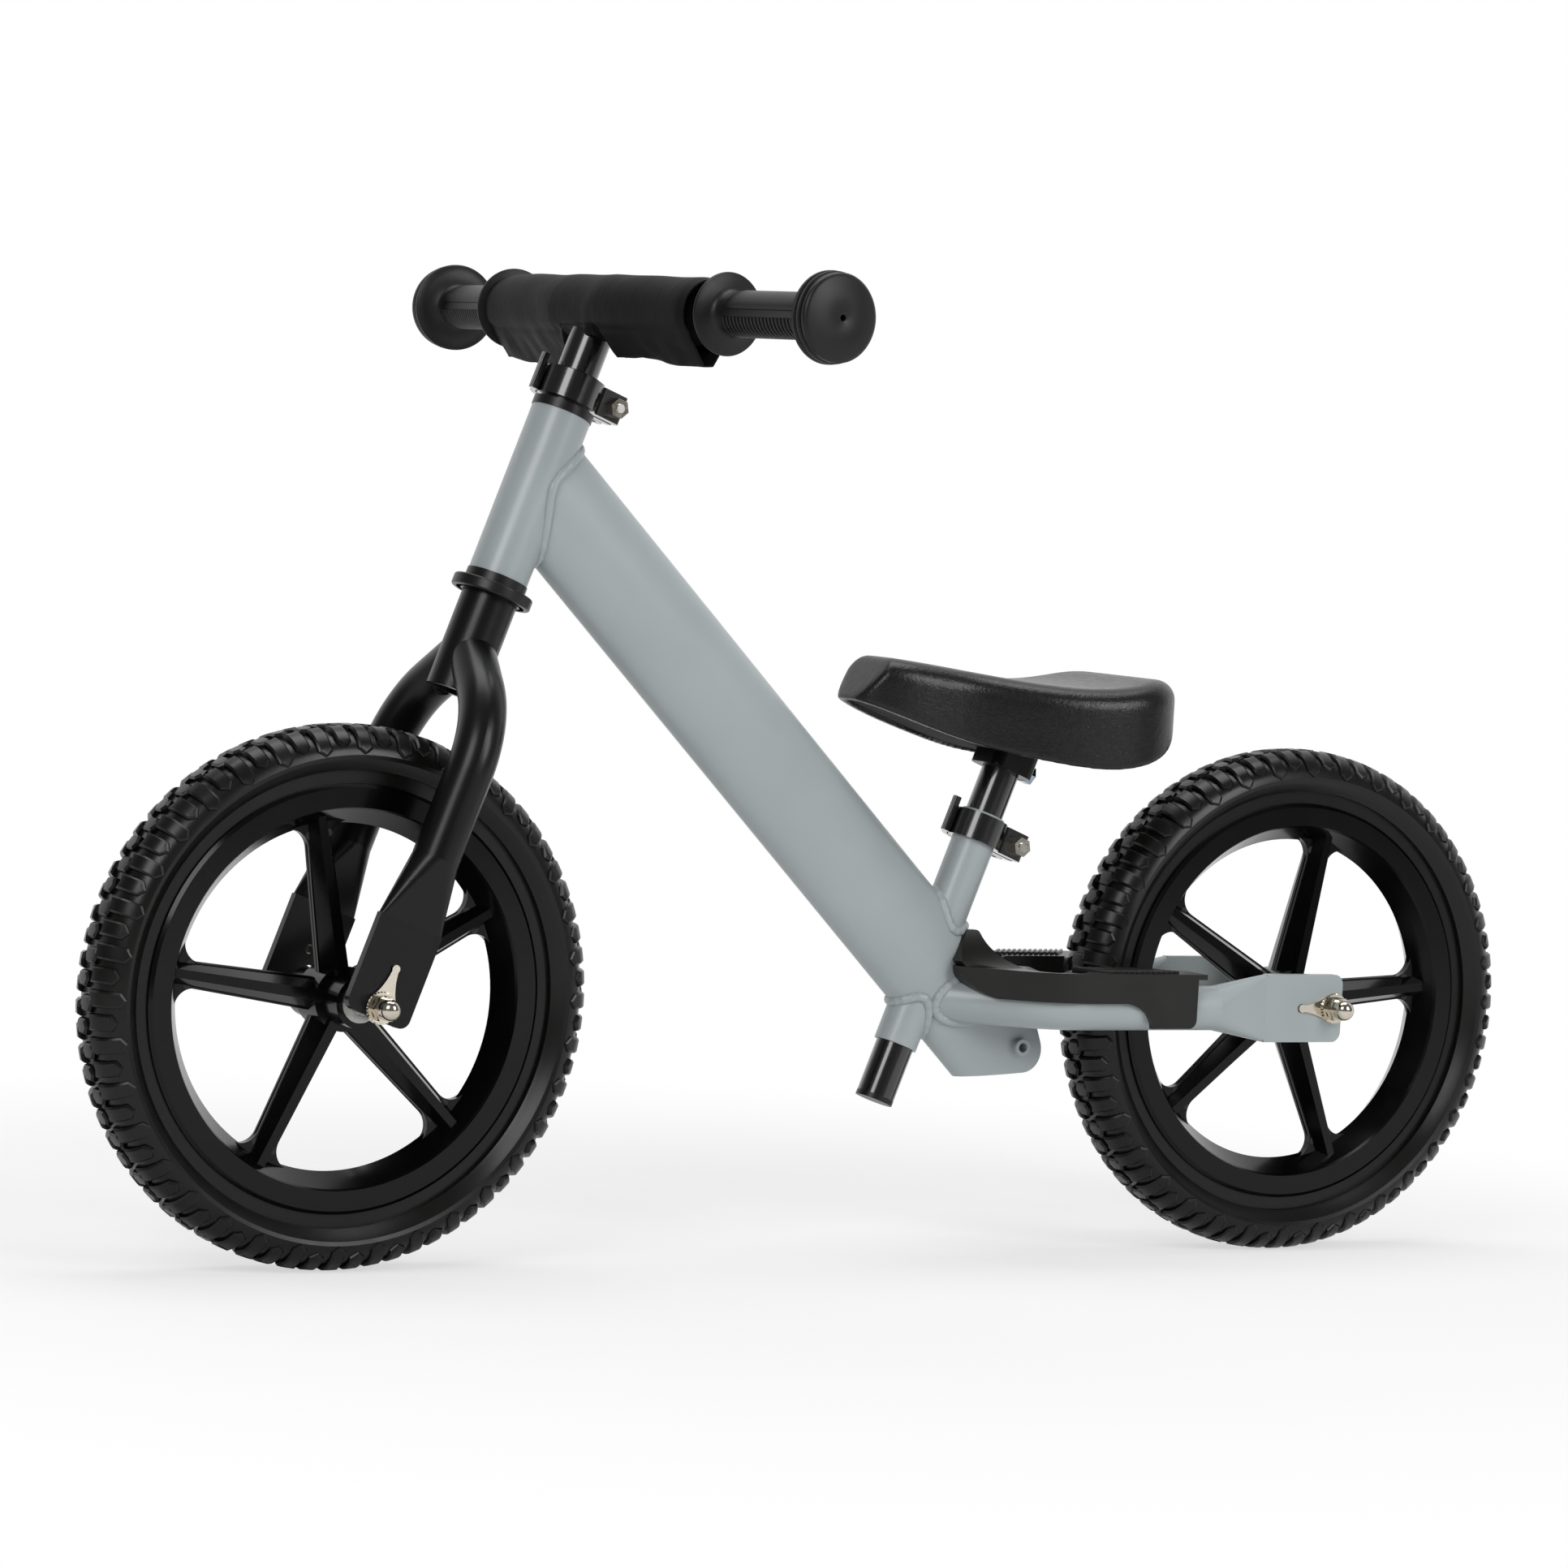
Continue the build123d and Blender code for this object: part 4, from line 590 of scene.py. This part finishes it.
def flapDepth(run):
    wave, wavePace = pad["hemWave"]
    drift, driftPace = pad["hemDrift"]
    deep = pad["flap"] + wave * math.sin(run * wavePace + 0.6)
    deep += drift * noise.noise((run * driftPace, 3.1, 0.4))
    fall, fallStart = pad["nearCorner"]
    deep += fall * smoothStep(fallStart, nearEnd, run)
    rise, riseStart = pad["farCorner"]
    deep -= rise * smoothStep(riseStart, farEnd, run)
    lift, liftStart, liftEnd = pad["nearLift"]
    deep -= lift * smoothStep(liftStart, liftEnd, run)
    gapFar, gapNear = pad["stemGap"]
    hang = smoothStep(gapFar, gapFar - pad["gapEase"], run)
    hang += smoothStep(gapNear, gapNear + pad["gapEase"], run)
    return pad["stemEdge"] + (deep - pad["stemEdge"]) * hang


def wrinkleAt(run, share):  # folds fan out from the stem, slack along the roll, a seam above the hem
    aside, above = run - pad["foldCentre"], 1 - abs(share)
    reach = math.hypot(aside, pad["girth"] * above)
    fan = math.atan2(aside, 10 + 55 * above)
    folds = math.sin(fan * pad["foldCount"] + 1.6 * noise.noise((run * 0.04, share * 2, 1.7)))
    folds = max(0, folds) ** 2 * math.exp(-reach / pad["foldReach"])
    slack = noise.noise((run * 0.03 + share * 1.2, share * 1.8, 5.0))
    crumple = noise.noise((run * 0.09, share * 5, 9.0)) * smoothStep(*pad["crumpleFrom"], abs(share))
    depth, place, width = pad["seam"]
    seam = depth * math.exp(-((abs(share) - place) / width) ** 2)
    foldMix, slackMix, crumpleMix = pad["wrinkleMix"]
    return pad["wrinkle"] * (foldMix * folds + slackMix * slack + crumpleMix * crumple) - seam


bm = bmesh.new()
cellsAlong, cellsRound = pad["coverCells"]
draw, drawStart = pad["endDraw"]
bulge, bulgeStart, bulgeEnd = pad["stemBulge"]
bmesh.ops.create_grid(bm, x_segments=cellsAlong, y_segments=cellsRound, size=0.5)
for vert in bm.verts:
    share = vert.co.y * 2  # -1 front hem, 0 top, 1 back hem
    run = farEnd + (nearEnd - farEnd) * (vert.co.x + 0.5)
    run += pad["endSlack"] * noise.noise((share * 2, vert.co.x, 4.0))
    spot, forward = barAt(run)
    size = pad["round"] - draw * smoothStep(drawStart, 0, min(run - farEnd, nearEnd - run))
    turn = max(-1, min(1, share / pad["arcShare"])) * pad["arc"]
    wide, high = size * math.sin(turn), size * math.cos(turn)
    outWide, outHigh = math.sin(turn), math.cos(turn)
    if abs(share) > pad["arcShare"]:
        rest = (abs(share) - pad["arcShare"]) / (1 - pad["arcShare"])
        foot = pad["fold"] + (bulge - pad["fold"]) * smoothStep(bulgeStart, bulgeEnd, abs(run))
        wide += (math.copysign(foot, share) - wide) * rest
        high += (-flapDepth(run) - high) * rest
    push = wrinkleAt(run, share)
    vert.co = spot + (forward * -(wide + outWide * push) + upright * (high + outHigh * push)) * mm
bmesh.ops.recalc_face_normals(bm, faces=bm.faces)
padCover = finishPiece(bm, "padCover", padCloth, "handlebar")
wall = padCover.modifiers.new("cloth wall", "SOLIDIFY")
wall.thickness, wall.offset = pad["wall"] * mm, -1
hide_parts("pad_cover")

bm = bmesh.new()
cellsAlong, cellsRound = pad["foamCells"]
draw, drawStart = pad["foamDraw"]
bmesh.ops.create_grid(bm, x_segments=cellsAlong, y_segments=cellsRound, size=0.5)
for vert in bm.verts:
    run = (farEnd + nearEnd) / 2 + (nearEnd - farEnd - 2 * pad["foamInset"]) * vert.co.x
    spot, forward = barAt(run)
    size = pad["foam"] - draw * smoothStep(drawStart, pad["foamInset"], min(run - farEnd, nearEnd - run))
    turn = vert.co.y * 2 * math.pi
    vert.co = spot + (forward * math.sin(turn) + upright * math.cos(turn)) * size * mm
bmesh.ops.remove_doubles(bm, verts=bm.verts, dist=0.01 * mm)
bmesh.ops.holes_fill(bm, edges=[edge for edge in bm.edges if edge.is_boundary], sides=0)
bmesh.ops.recalc_face_normals(bm, faces=bm.faces)
padFoam = finishPiece(bm, "padFoam", foamCore, "handlebar")
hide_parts("pad_foam")
print("bar pad made")


# Saddle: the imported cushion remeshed, puffed a little by cloth pressure, then smoothed
saddle = {"voxel": 1.15, "frames": 8, "pressure": 4.0, "cap": 1.2, "still": 0.25, "passes": 4}


def puffed(node, voxel, frames, pressure, cap, still, passes):  # the lowest share, still, keeps its shape
    bm = bmesh.new()
    bm.from_mesh(nodes[node].data)
    bmesh.ops.remove_doubles(bm, verts=bm.verts, dist=0.01 * mm)
    mesh = bpy.data.meshes.new(node + "Skin")
    bm.to_mesh(mesh)
    bm.free()
    skin = bpy.data.objects.new(node + "Skin", mesh)
    bpy.context.scene.collection.objects.link(skin)
    grid = skin.modifiers.new("even grid", "REMESH")
    grid.mode, grid.voxel_size = "VOXEL", voxel * mm
    even = bpy.data.meshes.new_from_object(skin.evaluated_get(bpy.context.evaluated_depsgraph_get()))
    skin.modifiers.clear()
    skin.data = even
    rest = [vert.co.copy() for vert in even.vertices]
    cloth = skin.modifiers.new("cloth", "CLOTH")
    cloth.settings.use_pressure = True
    cloth.settings.uniform_pressure_force = pressure
    cloth.settings.effector_weights.gravity = 0
    cloth.settings.quality = 4
    for step in range(1, frames + 1):
        bpy.context.scene.frame_set(step)
    puff = bpy.data.meshes.new_from_object(skin.evaluated_get(bpy.context.evaluated_depsgraph_get()))
    moved = [vert.co.copy() for vert in puff.vertices]
    bpy.context.scene.frame_set(1)
    bpy.data.objects.remove(skin)
    bm = bmesh.new()
    bm.from_mesh(even)
    low = min(spot.z for spot in rest)
    high = max(spot.z for spot in rest)
    for vert, home, away in zip(bm.verts, rest, moved):
        shift = away - home
        limit = cap * mm * smoothStep(low + still * (high - low), high, home.z)
        if shift.length > limit:
            shift *= limit / shift.length
        vert.co = home + shift
    for step in range(passes):
        bmesh.ops.smooth_vert(bm, verts=bm.verts, factor=0.5, use_axis_x=True, use_axis_y=True,
                              use_axis_z=True)
    return bm


bm = puffed("saddle_cushion", **saddle)
cushion = finishPiece(bm, "saddleCushion", saddleSkin, "seat")
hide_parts("saddle_cushion")
print("saddle cushion made:", len(cushion.data.polygons), "faces")


# Ejector marks: two pale discs where each spoke meets the rim
marks = {"radius": 2.2, "thick": 0.5, "edge": 0.12, "reach": 90.6, "aside": 5.9, "depth": 2.45, "spokes": 5,
         "front": 79.8, "rear": 103.3}
for end, axle in (("front", frontAxle), ("rear", rearAxle)):
    bm = bmesh.new()
    for spoke in range(marks["spokes"]):
        turn = math.radians(marks[end] + 360 / marks["spokes"] * spoke)
        out = Vector((math.cos(turn), 0, math.sin(turn)))
        beside = Vector((-math.sin(turn), 0, math.cos(turn)))
        for shift in (-1, 1):
            for face in (-1, 1):
                spot = axle + (out * marks["reach"] + beside * marks["aside"] * shift) * mm
                spot += across * marks["depth"] * face * mm
                lie = Matrix.Translation(spot) @ Matrix.Rotation(math.pi / 2, 4, "X")
                disc = bmesh.ops.create_cone(bm, cap_ends=True, segments=20, radius1=marks["radius"] * mm,
                                             radius2=marks["radius"] * mm, depth=marks["thick"] * mm,
                                             matrix=lie)
                rim = [edge for edge in edgesOf(disc["verts"])
                       if len(edge.link_faces) == 2 and edge.calc_face_angle(0) > 1]
                bmesh.ops.bevel(bm, geom=rim, offset=marks["edge"] * mm, segments=1, profile=0.5,
                                affect="EDGES", material=-1)
    finishPiece(bm, end + "RimMarks", markPlastic, end + "_wheel", smooth=False)
print("rim marks made")


# Tread ribs on the footrest: slanting bars moulded on the flat behind each scoop
ribs = {"count": 13, "first": -146.0, "pitch": 3.7, "middle": 52.5, "length": 26.0, "wide": 1.7,
        "high": 1.7, "edge": 0.45, "slant": math.radians(40), "top": 171.0}
bm = bmesh.new()
for side in (1, -1):
    for index in range(ribs["count"]):
        spot = Vector((ribs["first"] - index * ribs["pitch"], side * ribs["middle"], ribs["top"])) * mm
        lie = Matrix.Translation(spot) @ Matrix.Rotation(side * ribs["slant"], 4, "Z")
        size = Matrix.Diagonal((ribs["wide"] * mm, ribs["length"] * mm, ribs["high"] * 2 * mm, 1))
        block = bmesh.ops.create_cube(bm, size=1, matrix=lie @ size)["verts"]
        bmesh.ops.bevel(bm, geom=edgesOf(block), offset=ribs["edge"] * mm, segments=2, profile=0.5,
                        affect="EDGES", material=-1)
finishPiece(bm, "footrestRibs", coverPlastic, "frame")
print("footrest ribs made")


# Serrated lock rings round the foot of each axle nut
lock = {"teeth": 30, "inner": 6.9, "root": 8.3, "tip": 9.0, "start": 56.5, "thick": 1.3}
for end, axle, body in (("front", frontAxle, "fork"), ("rear", rearAxle, "frame")):
    bm = bmesh.new()
    for side in (1, -1):
        ring = bmesh.ops.create_circle(bm, segments=2 * lock["teeth"], radius=lock["root"] * mm)["verts"]
        for vert in ring[::2]:
            vert.co *= lock["tip"] / lock["root"]
        hole = bmesh.ops.create_circle(bm, segments=2 * lock["teeth"], radius=lock["inner"] * mm)["verts"]
        faces = bmesh.ops.bridge_loops(bm, edges=edgesOf(ring + hole))["faces"]
        grown = bmesh.ops.extrude_face_region(bm, geom=faces)["geom"]
        raised = [g for g in grown if isinstance(g, bmesh.types.BMVert)]
        bmesh.ops.translate(bm, verts=raised, vec=(0, 0, lock["thick"] * mm))
        place = Matrix.Translation(axle + across * side * lock["start"] * mm)
        turned = Matrix.Rotation(-side * math.pi / 2, 4, "X")
        bmesh.ops.transform(bm, matrix=place @ turned, verts=ring + hole + raised)
    bmesh.ops.recalc_face_normals(bm, faces=bm.faces)
    finishPiece(bm, end + "LockRings", nickel, body, smooth=False)
print("lock rings made")


# Studio: the photograph's camera, a white sweep behind and a dim room in front, softboxes at the sides
studio = {
    "cameraPlace": (1.8144, 2.9866, 0.4747),
    "cameraRight": (-0.85939, 0.50815, 0.05688),
    "cameraDown": (-0.01896, 0.07950, -0.99665),
    "lens": 140.66,
    "shift": (-0.0025, 0.0019),
    "target": (0.0, 0.0, 0.25),
    "floor": 12.0,
    "paperNear": 0.35,
    "paperFar": 0.95,
    "paperGlow": 0.62,  # how much of the paper near the bike shines by itself; the rest takes the shadow
    "room": 0.15,
    "behind": (-0.2, 0.5),  # where the paper starts and ends brightening in gloss, away from the camera
    "sweep": (0.1, 0.5),  # the same for the backdrop, by direction
    "lamps": {  # to the right, towards the camera and up from the target, width, height, watts
        "leftBox": (-0.95, 2.4, 1.6, 1.1, 1.4, 30),
        "rightBox": (2.05, 1.55, 1.05, 0.9, 1.4, 30),
        "top": (0.0, -0.3, 2.4, 2.2, 1.3, 34),
    },
}
scene = bpy.context.scene
camera = bpy.data.objects.new("camera", bpy.data.cameras.new("camera"))
scene.collection.objects.link(camera)
scene.camera = camera
camera.data.sensor_width = 36
camera.data.lens = studio["lens"]
camera.data.shift_x, camera.data.shift_y = studio["shift"]
right = Vector(studio["cameraRight"]).normalized()
up = -Vector(studio["cameraDown"])
back = right.cross(up).normalized()
up = back.cross(right)
turned = Matrix((right, up, back)).transposed().to_4x4()
camera.matrix_world = Matrix.Translation(studio["cameraPlace"]) @ turned

bm = bmesh.new()
bmesh.ops.create_grid(bm, x_segments=1, y_segments=1, size=studio["floor"])
mesh = bpy.data.meshes.new("floor")
bm.to_mesh(mesh)
bm.free()
floor = bpy.data.objects.new("floor", mesh)
scene.collection.objects.link(floor)
# White paper: plain near the bike, where it takes the shadow, and lit white further out
material, tree, shader, place = newMaterial("white paper", Base_Color=linear("#F6F6F6"), Roughness=0.9)
path = addNode(tree, "ShaderNodeLightPath").outputs
bent = addNode(tree, "ShaderNodeMath", {0: path["Is Glossy Ray"], 1: path["Is Transmission Ray"]},
               operation="ADD")
away = addNode(tree, "ShaderNodeVectorMath", {0: place, 1: -back}, operation="DOT_PRODUCT")
start, end = studio["behind"]
behind = addNode(tree, "ShaderNodeMapRange", {"Value": away.outputs["Value"], "From Min": start,
                                              "From Max": end})
bent = addNode(tree, "ShaderNodeMath", {0: bent.outputs[0], 1: behind.outputs["Result"]},
               operation="MULTIPLY")
seen = addNode(tree, "ShaderNodeMath", {0: bent.outputs[0], 1: path["Is Camera Ray"]}, operation="ADD",
               use_clamp=True)
reach = addNode(tree, "ShaderNodeVectorMath", {0: place}, operation="LENGTH")
fade = addNode(tree, "ShaderNodeMapRange",
               {"Value": reach.outputs["Value"], "From Min": studio["paperNear"],
                "From Max": studio["paperFar"], "To Min": studio["paperGlow"], "To Max": 1.0},
               interpolation_type="SMOOTHSTEP")
lit = addNode(tree, "ShaderNodeMath", {0: seen.outputs[0], 1: fade.outputs["Result"]}, operation="MULTIPLY")
glow = addNode(tree, "ShaderNodeEmission", {"Color": linear("#FFFFFF"), "Strength": 1.0})
sheet = addNode(tree, "ShaderNodeMixShader", {"Fac": lit.outputs[0], 1: shader.outputs[0],
                                              2: glow.outputs[0]})
tree.links.new(sheet.outputs[0], tree.nodes["Material Output"].inputs["Surface"])
floor.data.materials.append(material)

world = bpy.data.worlds.new("studio")
scene.world = world
world.use_nodes = True
tree = world.node_tree
tree.nodes.clear()
path = addNode(tree, "ShaderNodeLightPath").outputs
ray = addNode(tree, "ShaderNodeTexCoord").outputs["Generated"]
room = addNode(tree, "ShaderNodeBackground", {"Color": linear("#FFFFFF"), "Strength": studio["room"]})
white = addNode(tree, "ShaderNodeBackground", {"Color": linear("#FFFFFF"), "Strength": 1.0})
facing = addNode(tree, "ShaderNodeVectorMath", {0: ray, 1: -back}, operation="DOT_PRODUCT")
start, end = studio["sweep"]
sweep = addNode(tree, "ShaderNodeMapRange", {"Value": facing.outputs["Value"], "From Min": start,
                                             "From Max": end})
bent = addNode(tree, "ShaderNodeMath", {0: path["Is Glossy Ray"], 1: path["Is Transmission Ray"]},
               operation="ADD")
bent = addNode(tree, "ShaderNodeMath", {0: bent.outputs[0], 1: sweep.outputs["Result"]},
               operation="MULTIPLY")
shown = addNode(tree, "ShaderNodeMath", {0: bent.outputs[0], 1: path["Is Camera Ray"]}, operation="ADD",
                use_clamp=True)
mixed = addNode(tree, "ShaderNodeMixShader", {"Fac": shown.outputs[0], 1: room.outputs[0],
                                              2: white.outputs[0]})
addNode(tree, "ShaderNodeOutputWorld", {"Surface": mixed.outputs[0]})

target = Vector(studio["target"])
for name, (aside, near, high, wide, tall, power) in studio["lamps"].items():
    lamp = bpy.data.lights.new(name, "AREA")
    lamp.shape = "RECTANGLE"
    lamp.size, lamp.size_y, lamp.energy = wide, tall, power
    holder = bpy.data.objects.new(name, lamp)
    level = Vector((back.x, back.y, 0)).normalized()
    holder.location = target + right * aside + level * near + upright * high
    holder.rotation_euler = (target - holder.location).to_track_quat("-Z", "Y").to_euler()
    scene.collection.objects.link(holder)
scene.view_settings.view_transform = "Standard"

print("scene ready")
